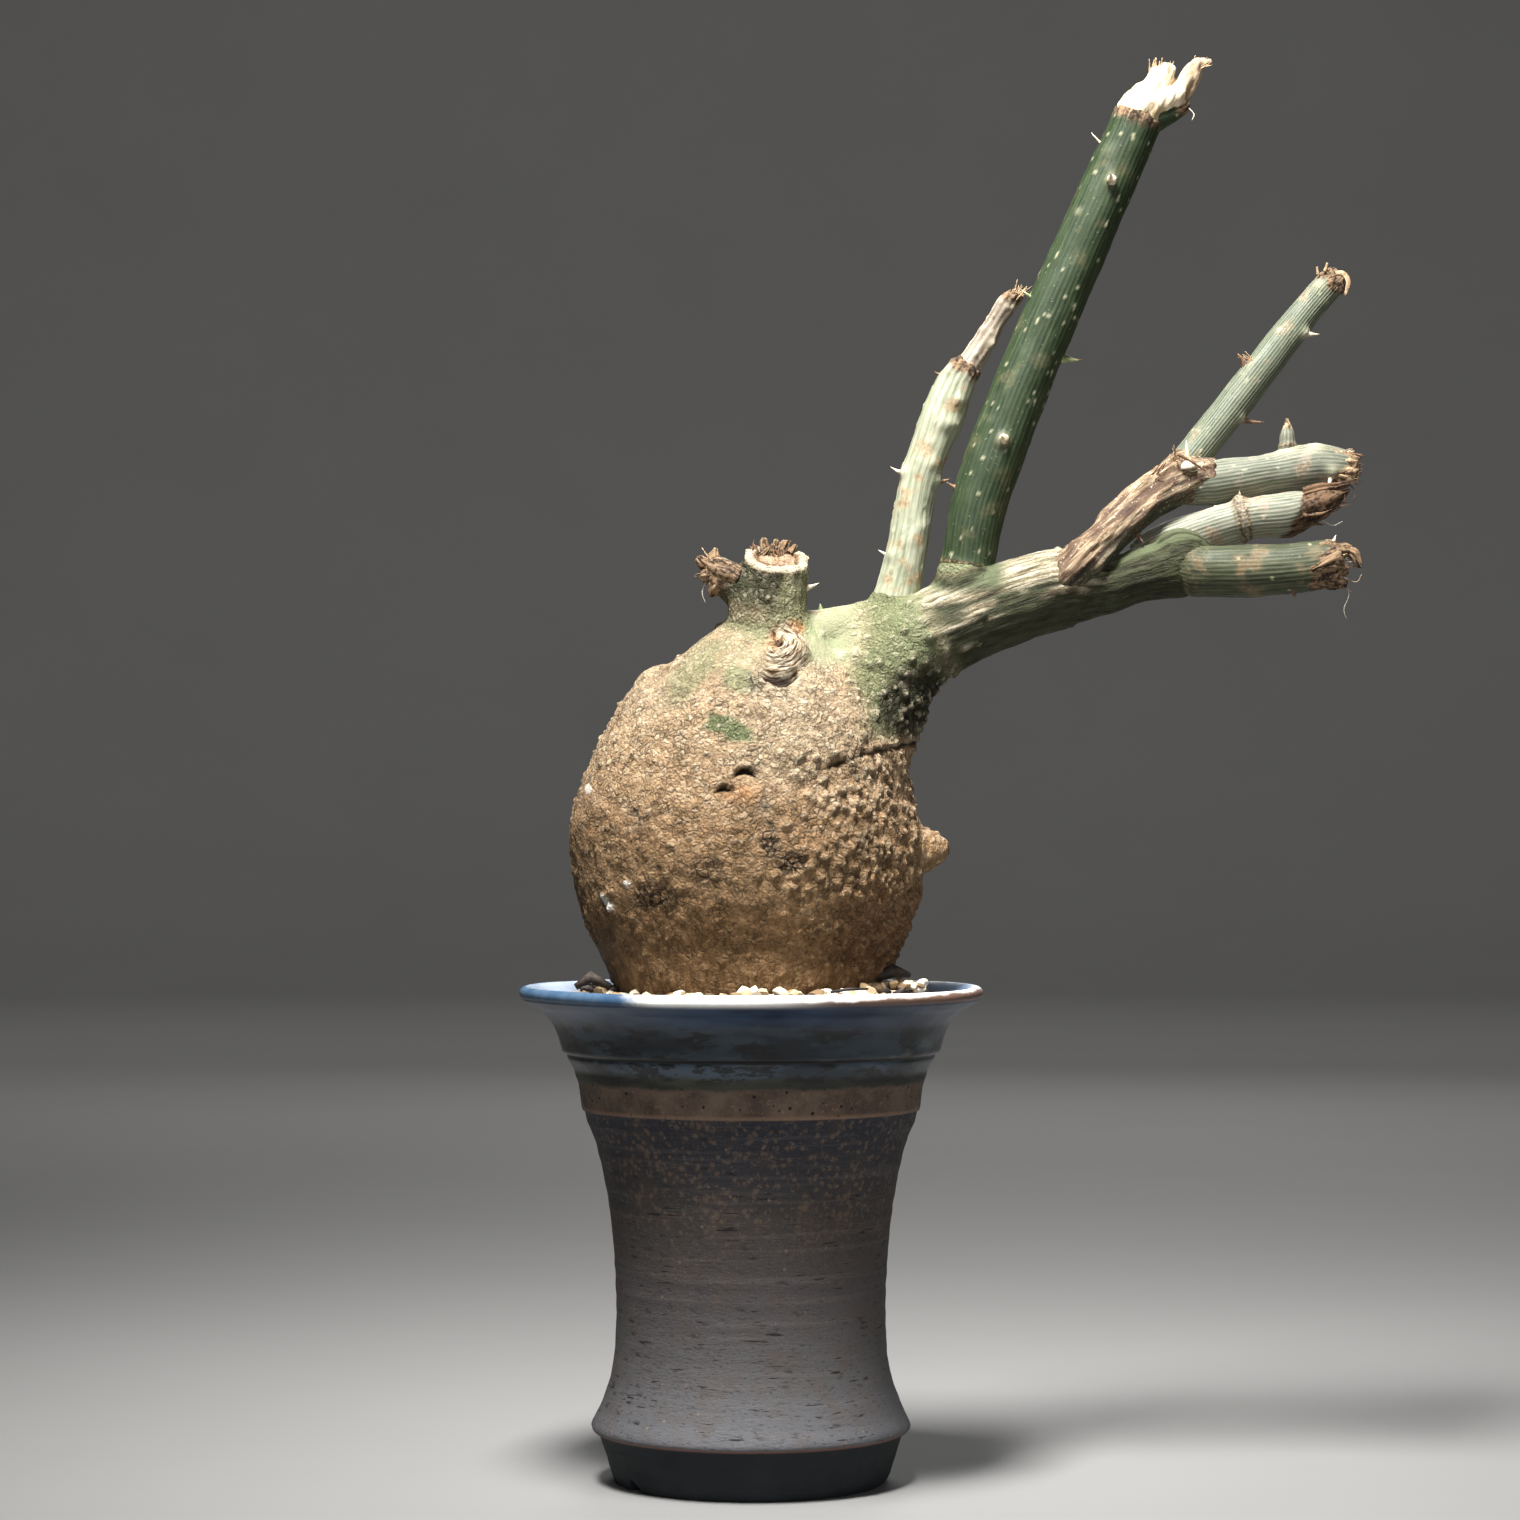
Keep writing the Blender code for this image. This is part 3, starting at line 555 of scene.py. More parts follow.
# A light has its place, what it aims at, its size, its power in watts and its spread in degrees.
studio = {
    "camera": (2.34, -1041.0, 170.0),
    "lens": 94.74,
    "tilt": 90.93,
    "farthestSeen": 20000.0,
    "floorRadius": 3000.0,
    "wallBend": 900.0,
    "bendSteps": 6,
    "wallHeight": 2200.0,
    "lights": {
        "key": ((-70.0, -310.0, 930.0), (45.0, 0.0, 200.0), (170.0, 320.0), 4.4, 68.0),
        "fill": ((220.0, -1680.0, 300.0), (25.0, 0.0, 170.0), (260.0, 260.0), 7.0, 160.0),
        "back": ((200.0, 1500.0, 1000.0), (25.0, 0.0, 170.0), (700.0, 700.0), 7.0, 150.0),
        "wall": ((0.0, 1300.0, 1700.0), (0.0, 3500.0, 100.0), (2400.0, 600.0), 22.0, 160.0),
    },
    "floorColours": ((0.3, (126, 125, 123)), (0.7, (123.7, 122.7, 120.7))),
    "sky": (0.93, 0.96, 1.0, 1.0),
    "skyStrength": 0.05,
}


def makeStudio():
    scene = bpy.context.scene
    scene.view_settings.view_transform = "Standard"
    camera = bpy.data.objects.new("camera", bpy.data.cameras.new("camera"))
    scene.collection.objects.link(camera)
    camera.location = place(*studio["camera"])
    camera.rotation_euler = (math.radians(studio["tilt"]), 0.0, 0.0)
    camera.data.lens = studio["lens"]
    camera.data.clip_end = studio["farthestSeen"] * mm
    scene.camera = camera

    for name, (spot, aim, size, power, spread) in studio["lights"].items():
        light = bpy.data.objects.new(name, bpy.data.lights.new(name, "AREA"))
        scene.collection.objects.link(light)
        light.location = place(*spot)
        light.rotation_euler = (place(*aim) - light.location).to_track_quat("-Z", "Y").to_euler()
        light.data.shape = "RECTANGLE"
        light.data.size, light.data.size_y = (side * mm for side in size)
        light.data.energy = power
        light.data.spread = math.radians(spread)
        light.visible_camera = False

    world = bpy.data.worlds.new("studio")
    scene.world = world
    world.use_nodes = True
    background = world.node_tree.nodes["Background"]
    background.inputs["Color"].default_value = studio["sky"]
    background.inputs["Strength"].default_value = studio["skyStrength"]

    # a round floor whose edge curves up into a low wall
    bpy.ops.object.select_all(action="DESELECT")
    bpy.ops.mesh.primitive_circle_add(vertices=96, radius=studio["floorRadius"] * mm, fill_type="NGON")
    floor = bpy.context.object
    floor.name = "floor"
    bpy.ops.object.mode_set(mode="EDIT")
    bpy.ops.mesh.select_all(action="SELECT")
    bpy.ops.mesh.region_to_loop()
    bend = studio["wallBend"]
    quarter = math.pi / 2 / studio["bendSteps"]
    for step in range(studio["bendSteps"]):
        angle = quarter * (step + 0.5)
        reach = bend * quarter
        before = studio["floorRadius"] + bend * math.sin(quarter * step)
        grow = (before + reach * math.cos(angle)) / before
        rise = {"value": (0, 0, reach * math.sin(angle) * mm)}
        bpy.ops.mesh.extrude_region_move(TRANSFORM_OT_translate=rise)
        bpy.ops.transform.resize(value=(grow, grow, 1.0), center_override=(0.0, 0.0, 0.0))
    bpy.ops.mesh.extrude_region_move(TRANSFORM_OT_translate={"value": (0, 0, studio["wallHeight"] * mm)})
    bpy.ops.mesh.select_all(action="SELECT")
    bpy.ops.mesh.normals_make_consistent(inside=True)
    bpy.ops.object.mode_set(mode="OBJECT")
    bpy.ops.object.shade_smooth()
    material = newFinish("paleFloor", 0.85)
    feed("Base Color", shades(grain(millimetres(), 180.0), *studio["floorColours"]))
    floor.data.materials.append(material)


makeStudio()
print("scene: studio ready")


# The stoneware pot

pot = {
    "lipRadius": 60.0, "lipHeight": 128.1, "lipThickness": 3.4,
    "flare": [(59.4, 125.0), (57.0, 123.3), (54.8, 122.0), (51.6, 119.0), (50.1, 115.8), (49.2, 112.6),
              (48.9, 111.5)],
    "groove": [(48.0, 111.0), (47.4, 110.9), (47.6, 110.2)],
    "collar": [(47.3, 109.4), (45.8, 106.8), (45.4, 105.2), (44.9, 103.6), (44.5, 101.0), (43.9, 96.6),
               (43.2, 96.0)],
    "waist": [(42.6, 93.2), (40.4, 88.0), (38.2, 79.0), (36.2, 66.5), (35.1, 51.5), (35.1, 38.0),
              (36.2, 28.4), (38.6, 21.0), (41.1, 15.6)],
    "edge": [(41.4, 14.6), (41.2, 13.8), (40.4, 13.1)],
    "foot": [(39.4, 12.6), (38.0, 8.6), (36.4, 3.2), (35.5, 0.9), (34.7, 0.05)],
    "under": [(34.5, 0.02), (29.6, 0.02), (29.3, 0.5), (28.0, 5.8), (27.0, 6.4), (11.5, 6.4), (11.0, 6.8),
              (11.0, 11.0), (11.6, 11.5), (28.6, 11.5)],
    "inside": [(29.0, 11.6), (30.8, 16.0), (31.0, 44.0), (33.4, 72.0), (37.8, 92.0), (41.0, 104.0),
               (45.0, 114.0), (47.4, 119.6), (52.4, 124.4), (56.2, 126.9)],
    "notches": (-57.0, 83.0, 193.0), "notchHalfWidth": 2.3, "steps": 220, "outerSpacing": 0.62,
    "innerSpacing": 2.6, "seed": 21,
}


def finePath(points, spacing):
    stations = [(radius, 0.0, height, 0.0) for radius, height in points]
    length = sum(math.dist(first, second) for first, second in zip(points, points[1:]))
    line, _ = evenLine(stations, max(3, int(length / spacing) + 1))
    return [(row[0], row[2]) for row in line]


def makePot():
    half = pot["lipThickness"] / 2
    lip = []
    for step in range(11):
        angle = math.radians(115 - 17 * step)
        lip.append((pot["lipRadius"] - half + half * math.cos(angle),
                    pot["lipHeight"] - half + half * math.sin(angle)))
    outside = lip + finePath([lip[-1], *pot["flare"]], pot["outerSpacing"])[1:]
    for section in ("groove", "collar", "waist", "edge", "foot"):
        outside += finePath(pot[section], pot["outerSpacing"])
    inside = finePath(pot["inside"], pot["innerSpacing"])
    piece = turned("stonewarePot", outside + pot["under"] + inside, pot["steps"], True, 0.005)

    points = pointsOf(piece)
    radius = np.hypot(points[:, 0], points[:, 1])
    height = points[:, 2]
    outward = np.column_stack([points[:, 0], points[:, 1], 0 * radius]) / np.maximum(radius, 1.0)[:, None]
    innerLimit = np.interp(height, [row[1] for row in pot["inside"]], [row[0] for row in pot["inside"]])
    isInside = (radius < innerLimit + 0.4) & (height > 11.0) | (radius < 28.0)
    isLip = ease(height, 124.6, 126.0) * (radius > 55.0)
    turn = np.arctan2(points[:, 0], -points[:, 1])

    # throwing rings run almost level round the clay, and the glaze lies thicker and lumpier
    bare = ease(-height, -97.0, -93.0)
    level = height + 0.9 * np.sin(turn + 0.6) + 0.25 * turn
    rings = lumps(np.column_stack([level, 0 * level + 3.0, 0 * level]), 2.6, 5)
    fineRings = lumps(np.column_stack([level, 0 * level, np.sin(turn) * 2.0]), 1.3, 6)
    out = 0.10 * bare * rings + 0.05 * bare * fineRings
    out += 0.10 * lumps(points, 9.0, 7) + 0.05 * lumps(points, 3.0, 8)
    drip = ease(height + 1.6 * roughLumps(points * (1, 1, 0), 14.0, 2, 9), 103.0, 105.0)
    out += 0.22 * drip
    gashCells, _, gashValue = scatterCells(points * (0.35, 0.35, 1.6), 2.4, 30)
    pit = ease(0.24 - gashCells, 0.0, 0.16) * (gashValue > 0.62) * bare
    out -= 0.28 * pit
    edge = np.exp(-(((height - 14.2) / 1.6) ** 2)) * (radius > 39.0)
    out += edge * 0.18 * lumps(points, 5.0, 12)
    out *= ~isInside
    lift = 0.18 * lumps(points * (1, 1, 0), 26.0, 14) * isLip
    points = points + outward * out[:, None]
    points[:, 2] += np.minimum(lift, 0.1)

    # three drainage notches in the foot ring
    under = (height < 3.0) & (radius > 28.0) & (radius < 38.0)
    for degrees in pot["notches"]:
        away = np.abs((turn - math.radians(degrees) + math.pi) % math.tau - math.pi) * radius
        depth = 3.3 * np.sqrt(np.clip(1.0 - (away / pot["notchHalfWidth"]) ** 2, 0.0, 1.0))
        points[:, 2] = np.where(under & (points[:, 2] < depth), depth, points[:, 2])
    setPoints(piece, points)
    setMask(piece, "clay", [isLip, isInside * 1.0, pit])
    return piece


def stonewareFinish():
    material = newFinish("stonewareGlaze", 0.6, 0.3)
    where = millimetres()
    x, y, z = addNode("SeparateXYZ", {"Vector": where}).outputs
    lip, inside, pit, _ = masks("clay")
    broad = grain(where, 24.0, 3.0)
    patch = grain(where, 8.0, 4.0, 0.65)
    level = grain(millimetres((0.3, 0.3, 1.0)), 7.0, 4.0, 0.6)
    speck = grain(where, 0.95, 4.0, 0.8)
    fine = grain(where, 0.5, 2.0, 0.6)
    dashes = grain(millimetres((0.28, 0.28, 1.0)), 0.55, 3.0, 0.65)
    lines = grain(millimetres((0.03, 0.03, 1.0)), 1.4, 3.0, 0.6)
    wander = plus(z, timesPlus(broad, 8.0, -4.0))

    # bare clay: almost black and speckled under the glaze, brown-grey lower, paler at the skirt; this ramp is
    # partly the clay's tone and partly painted shade under the lip's overhang
    clay = shades(between(wander, 12.0, 98.0), (0.0, (84, 84, 87)), (0.1, (81, 79, 79)), (0.26, (74, 71, 71)),
                  (0.5, (65, 60, 59)), (0.78, (55, 51, 48)), (0.9, (47, 45, 48)), (1.0, (36, 38, 46)))
    clay = cover(clay, (80, 66, 54), between(patch, 0.45, 0.7), 0.35)
    clay = cover(clay, (120, 112, 108), between(lines, 0.55, 0.62), 0.1)
    clay = cover(clay, (32, 28, 28), between(dashes, 0.42, 0.35), 0.55)
    clay = cover(clay, (124, 118, 112), between(fine, 0.6, 0.72), 0.3)
    speckFade = times(between(wander, 52.0, 82.0), 0.5)
    speckSize = timesPlus(patch, 0.5, timesPlus(speck, 0.35, -0.18))
    speckPlace = minus(spots(bent(where, 0.8, 1.0), 1.9), speckSize)
    speckShare = between(speckPlace, 0.28, -0.12)
    clay = cover(clay, (110, 91, 75), times(speckShare, speckFade))
    gashes = between(grain(millimetres((0.1, 0.1, 1.0)), 0.8, 2.0, 0.5), 0.33, 0.3)
    clay = cover(clay, (28, 24, 23), times(gashes, between(z, 84.0, 76.0)))
    grog = between(timesPlus(speck, 0.1, spots(where, 5.2)), 0.16, 0.1)
    clay = cover(clay, (136, 112, 92), grog, 0.4)
    clay = cover(clay, (20, 18, 18), pit, 0.8)

    # the foot below the skirt's edge
    footColour = mottle(patch, 0.35, 0.65, (17, 21, 24), (25, 29, 32))
    clay = cover(clay, footColour, between(z, 13.6, 12.9))
    rimLine = times(between(z, 12.9, 13.3), between(z, 14.0, 13.6))
    clay = cover(clay, (104, 66, 50), rimLine, 0.6)

    # reddish slip band with pin holes, and the glaze above it
    red = mottle(patch, 0.3, 0.7, (70, 57, 49), (104, 88, 75))
    red = cover(red, (138, 112, 90), between(speck, 0.56, 0.66), 0.6)
    red = cover(red, (24, 17, 15), between(spots(where, 3.1), 0.17, 0.12))
    red = cover(red, (132, 104, 84), between(z, 97.6, 96.8), 0.5)
    surface = mottle(z, 96.1, 96.5, clay, red)

    olive = mottle(level, 0.35, 0.65, (38, 41, 36), (56, 59, 49))
    glazeEdge = timesPlus(patch, 3.6, z)
    surface = cover(surface, olive, between(glazeEdge, 105.0, 106.4))
    streak = times(between(glazeEdge, 108.0, 109.6), between(z, 111.4, 110.8))
    streakColour = mottle(level, 0.4, 0.62, (38, 46, 54), (64, 76, 88))
    surface = cover(surface, streakColour, streak)
    collarColour = mottle(level, 0.36, 0.64, (24, 30, 35), (46, 56, 64))
    surface = cover(surface, collarColour, between(z, 110.9, 111.4))
    grooveLine = times(between(z, 110.2, 110.7), between(z, 112.0, 111.3))
    surface = cover(surface, (20, 19, 20), grooveLine)
    blotchPlace = grain(millimetres((0.35, 0.35, 1.0)), 4.0, 4.0, 0.7)
    blotchReach = plus(blotchPlace, between(x, -18.0, -44.0, 0.0, 0.09))
    blotch = times(between(blotchReach, 0.51, 0.57), between(z, 104.0, 107.0))
    surface = cover(surface, (20, 19, 20), blotch, 0.85)
    smear = times(between(grain(millimetres((0.4, 0.4, 1.3)), 6.0, 2.0), 0.6, 0.67),
                  times(between(z, 105.0, 108.0), between(x, 12.0, 34.0, 0.15, 1.0)))
    surface = cover(surface, (96, 104, 98), smear, 0.4)
    navyEdge = timesPlus(broad, 5.0, z)
    navy = mottle(level, 0.36, 0.64, (25, 37, 57), (48, 64, 85))
    surface = cover(surface, navy, between(navyEdge, 120.6, 124.0))

    # lip: sky blue, turning near-white cream at the front, partly bleached glaze and partly a painted
    # highlight, with a rusty lower edge to the right
    sky = mottle(patch, 0.3, 0.7, (52, 77, 103), (78, 100, 122))
    # painted highlight: the lip turns near-white towards the front, over real bleaching
    bleachAndGlintPlace = plus(x, timesPlus(patch, 16.0, -8.0))
    bleachAndGlint = times(between(bleachAndGlintPlace, -34.0, -22.0), between(bleachAndGlintPlace, 64.0, 58.0))
    bleachAndGlint = times(bleachAndGlint, between(y, 14.0, -16.0))
    cream = mottle(patch, 0.35, 0.65, (250, 249, 247), (242, 238, 230))
    lipColour = blend(bleachAndGlint, sky, cream)
    rustEdge = plus(z, timesPlus(patch, 2.6, -1.3))
    rustTop = plus(rustEdge, between(x, 20.0, 58.0, 0.0, -1.1))
    rust = times(between(x, -2.0, 24.0), between(rustTop, 127.2, 126.0))
    rust = times(rust, between(y, 10.0, -12.0))
    lipColour = cover(lipColour, (92, 60, 40), rust, 0.95)
    surface = cover(surface, lipColour, lip)
    insideColour = mottle(z, 20.0, 90.0, (60, 56, 54), sky)
    surface = cover(surface, insideColour, inside)

    feed("Base Color", surface)
    glazed = between(z, 104.0, 107.0)
    rough = blend(glazed, (0.72, 0.72, 0.72, 1.0), (0.3, 0.3, 0.3, 1.0))
    feed("Roughness", timesPlus(patch, 0.12, rough))
    relief((blend(glazed, dashes, patch), 0.22, 0.8), (blend(glazed, speck, broad), 0.3, 0.7))
    return material


stonewarePot = makePot()
dress(stonewarePot, stonewareFinish())
settle(stonewarePot, "pot")


# Small torn and thorny parts


def fibreFinish(name, dark, light, roughness=0.8):
    material = newFinish(name, roughness)
    where = millimetres()
    colour = mottle(grain(where, 1.6, 3.0), 0.32, 0.66, dark, light)
    colour = blend(between(grain(where, 0.35, 2.0), 0.55, 0.75), colour, light, "SCREEN")
    feed("Base Color", colour)
    relief((grain(where, 0.5, 3.0), 0.08, 0.6))
    return material


thornFinish = fibreFinish("thornHorn", (150, 128, 92), (226, 214, 188), 0.55)
greenThornFinish = fibreFinish("greenThorn", (92, 108, 62), (170, 176, 128), 0.55)
brownThornFinish = fibreFinish("brownThorn", (58, 38, 26), (128, 96, 66), 0.6)
brownFibre = fibreFinish("brownFibre", (52, 34, 22), (118, 84, 54))
tanFibre = fibreFinish("tanFibre", (127, 98, 65), (183, 158, 124))
whiteFibre = fibreFinish("whiteFibre", (150, 140, 122), (196, 190, 176))
smallParts = [thornFinish, greenThornFinish, brownThornFinish, brownFibre, tanFibre, whiteFibre]
horn, greenHorn, brownHorn, brown, tan, white = range(6)


def addSmallParts(piece, thorns=(), tufts=(), hairs=(), flaps=()):
    def build(shape):
        for foot, tip, radius, material in thorns:
            addThorn(shape, foot, tip, radius, material)
        for tuft in tufts:
            addFibres(shape, *tuft)
        for points, radius, material in hairs:
            line, _ = evenLine([(*point, radius) for point in points], 4 * len(points))
            radii = [radius * (1.0 - 0.6 * step / len(line)) for step in range(len(line))]
            addStrand(shape, line[:, :3], radii, sides=4, material=material)
        for points, width, material in flaps:
            line, along = evenLine([(*point, 0.0) for point in points], 12)
            bulge = 1.02 - np.abs(2.0 * along / along[-1] - 0.8) ** 2 / 1.45
            radii = width * np.sqrt(np.clip(bulge, 0.02, 1.0))
            addStrand(shape, line[:, :3], radii, sides=8, flat=0.28, material=material)

    strands = strandPiece("strands", build)
    dress(strands, *smallParts)
    return joinPieces(piece, [strands])


# The swollen stem, with its neck, crown and main branch

# Levels are height, half width and shift, and the forms are stations of x, y, z and radius.
# A patch has its share, middle, half sizes, softness and lean, seen from the front.
caudex = {
    "voxel": 0.82, "smoothing": 6, "steps": 96, "depth": 0.95,
    "levels": [(88.6, 0.0, 0.0), (89.5, 9.0, 0.0), (95.0, 19.0, 0.0), (105.0, 27.0, 0.0), (115.0, 31.2, 0.0),
               (122.0, 33.4, 0.0), (130.0, 35.9, -0.7), (137.5, 39.0, -1.0), (145.0, 42.4, -1.0),
               (153.0, 44.9, -0.9), (163.5, 46.0, -1.3), (172.5, 45.0, -1.6), (181.5, 42.6, -1.2),
               (190.5, 40.6, 0.4), (198.0, 37.0, 1.0), (204.0, 32.7, 0.6), (209.0, 28.0, 1.4),
               (213.5, 22.4, 3.0), (218.0, 17.4, 4.0), (222.8, 12.3, 5.0), (226.0, 6.0, 5.0),
               (226.6, 0.0, 5.0)],
    "mainBranch": [(21.9, 0.0, 190.8, 20.5), (30.5, 1.0, 205.2, 17.0), (38.8, 1.0, 214.3, 13.8),
                   (47.9, 0.0, 219.7, 11.7), (60.9, 0.0, 225.4, 11.0), (77.7, -1.0, 230.8, 10.4),
                   (86.8, -1.0, 232.1, 8.8), (93.6, -1.0, 232.6, 7.2), (101.4, -1.0, 235.0, 7.0),
                   (111.0, -0.6, 237.2, 8.0), (115.6, -0.6, 237.6, 7.2)],
    "ridge": [(6.0, -1.0, 217.0, 8.0), (20.0, 0.5, 219.2, 7.2), (33.0, 2.0, 221.5, 7.5)],
    "paleCollar": [(35.0, 2.0, 214.0, 10.0), (36.6, 3.0, 222.0, 8.0), (37.6, 3.0, 229.0, 6.5)],
    "tallCollar": [(54.5, 0.0, 224.0, 10.0), (55.8, 0.0, 232.0, 8.4), (56.0, 0.0, 236.2, 7.6)],
    "crownStub": [(4.5, -3.0, 210.0, 13.5), (4.9, -4.0, 218.0, 11.2), (4.4, -5.0, 225.7, 10.3),
                  (6.0, -6.0, 233.4, 8.9), (6.7, -7.0, 239.0, 8.5), (7.2, -7.6, 245.0, 8.6)],
    "cutMiddle": (6.7, -7.0, 239.0), "cutNormal": (0.09, -0.45, 0.89),
    "sideShoot": [(3.0, -5.0, 225.0, 7.0), (-0.3, -5.0, 228.8, 5.6), (-5.4, -5.0, 232.9, 4.8),
                  (-9.4, -5.0, 236.0, 4.3)],
    "sideKnob": [(34.0, 0.0, 163.5, 12.0), (40.1, 0.0, 163.5, 9.4), (45.3, 0.0, 163.5, 6.0),
                 (48.6, 0.0, 163.7, 4.4), (50.6, 0.0, 163.8, 2.6)],
    "balls": [((112.0, -0.4, 238.4), 8.8), ((9.0, -19.0, 212.8), 6.4), ((-22.2, -3.0, 203.4), 8.7)],
    "warts": [(1.1, (43.0, 220.0), (7.0, 4.5), 0.5), (0.9, (29.0, 208.0), (10.0, 7.0), 0.6, -45.0)],
    "sleek": [(0.5, (-2.0, 213.0), (5.0, 4.0), 0.6)],
    "green": [(0.75, (-15.0, 208.5), (14.0, 4.6), 0.4, 52.0), (0.85, (-2.4, 205.8), (4.6, 3.6), 0.3, -35.0)],
    "pale": [(1.0, (10.0, 199.0), (15.0, 15.0), 0.9), (1.0, (18.0, 214.0), (5.0, 9.0), 0.5),
             (0.5, (-24.0, 203.0), (9.0, 6.0), 0.5)],
    "seed": 5, "wartCount": 1150, "hollows": [(-1.6, 183.6, 3.3, 1.0, 0.2), (-6.7, 179.2, 2.4, 0.9, 0.16)],
    "cracked": [(4.6, 166.0, 3.2, 7.6, 1.0), (9.6, 160.0, 4.4, 2.8, 1.0), (-28.6, 172.4, 3.2, 5.0, 0.6),
                (-10.0, 157.0, 4.4, 3.4, 0.6), (-23.6, 151.0, 5.0, 3.4, 0.8), (3.0, 174.0, 3.0, 3.0, 0.5),
                (1.4, 205.4, 2.4, 3.2, 0.7), (24.0, 156.0, 4.0, 2.6, 0.6)],
    "crease": [(14.0, 182.8), (20.0, 184.4), (28.6, 187.8), (36.0, 189.6), (41.3, 190.8), (46.0, 191.6)],
    "flecks": [((-37.6, 151.6), (-35.4, 149.0), 1.0), ((-31.4, 155.4), (-31.0, 155.2), 0.8),
               ((-41.6, 179.4), (-41.2, 178.8), 0.9)],
}


def makeCaudexForm():
    outline = evenLine([(width, 0.0, height, shift) for height, width, shift in caudex["levels"]], 110)[0]
    body = turned("body", [(max(row[0], 0.0), row[2]) for row in outline], caudex["steps"], False, 0.01)
    points = pointsOf(body)
    points[:, 0] += np.interp(points[:, 2], outline[:, 2], outline[:, 3])
    points[:, 1] *= 1.0 - (1.0 - caudex["depth"]) * ease(points[:, 2], 128.0, 140.0)
    setPoints(body, points)

    stub = sweptForm(caudex["crownStub"])
    selectOnly(stub)
    bpy.ops.object.mode_set(mode="EDIT")
    bpy.ops.mesh.select_all(action="SELECT")
    bpy.ops.mesh.bisect(plane_co=place(*caudex["cutMiddle"]), plane_no=caudex["cutNormal"], use_fill=True,
                        clear_outer=True)
    bpy.ops.object.mode_set(mode="OBJECT")
    forms = [body, stub]
    forms += [sweptForm(caudex[name]) for name in
              ("mainBranch", "ridge", "paleCollar", "tallCollar", "sideShoot", "sideKnob")]
    forms += [ballForm(centre, radius) for centre, radius in caudex["balls"]]
    return melt("swollenStem", forms, caudex["voxel"], caudex["smoothing"])


# Soft-edged oval in the front view, wandering with the noise
def frontPatch(points, wander, centre, size, soft=0.35, lean=0.0):
    right, up = points[:, 0] - centre[0], points[:, 2] - centre[1]
    turn = math.radians(lean)
    along = right * math.cos(turn) + up * math.sin(turn)
    across = up * math.cos(turn) - right * math.sin(turn)
    away = np.hypot(along / size[0], across / size[1]) + wander
    return ease(-away, -1.0 - soft, -1.0 + soft) * (points[:, 1] < 8.0)


def frontLineGap(points, line):
    gap = np.full(len(points), 99.0)
    flat = points[:, [0, 2]]
    for first, second in zip(np.array(line[:-1]), np.array(line[1:])):
        step = second - first
        share = np.clip(((flat - first) @ step) / (step @ step), 0.0, 1.0)
        gap = np.minimum(gap, np.linalg.norm(flat - first - share[:, None] * step, axis=1))
    return np.where(points[:, 1] < 6.0, gap, 99.0)


def highest(*shares):
    return np.maximum.reduce(shares)


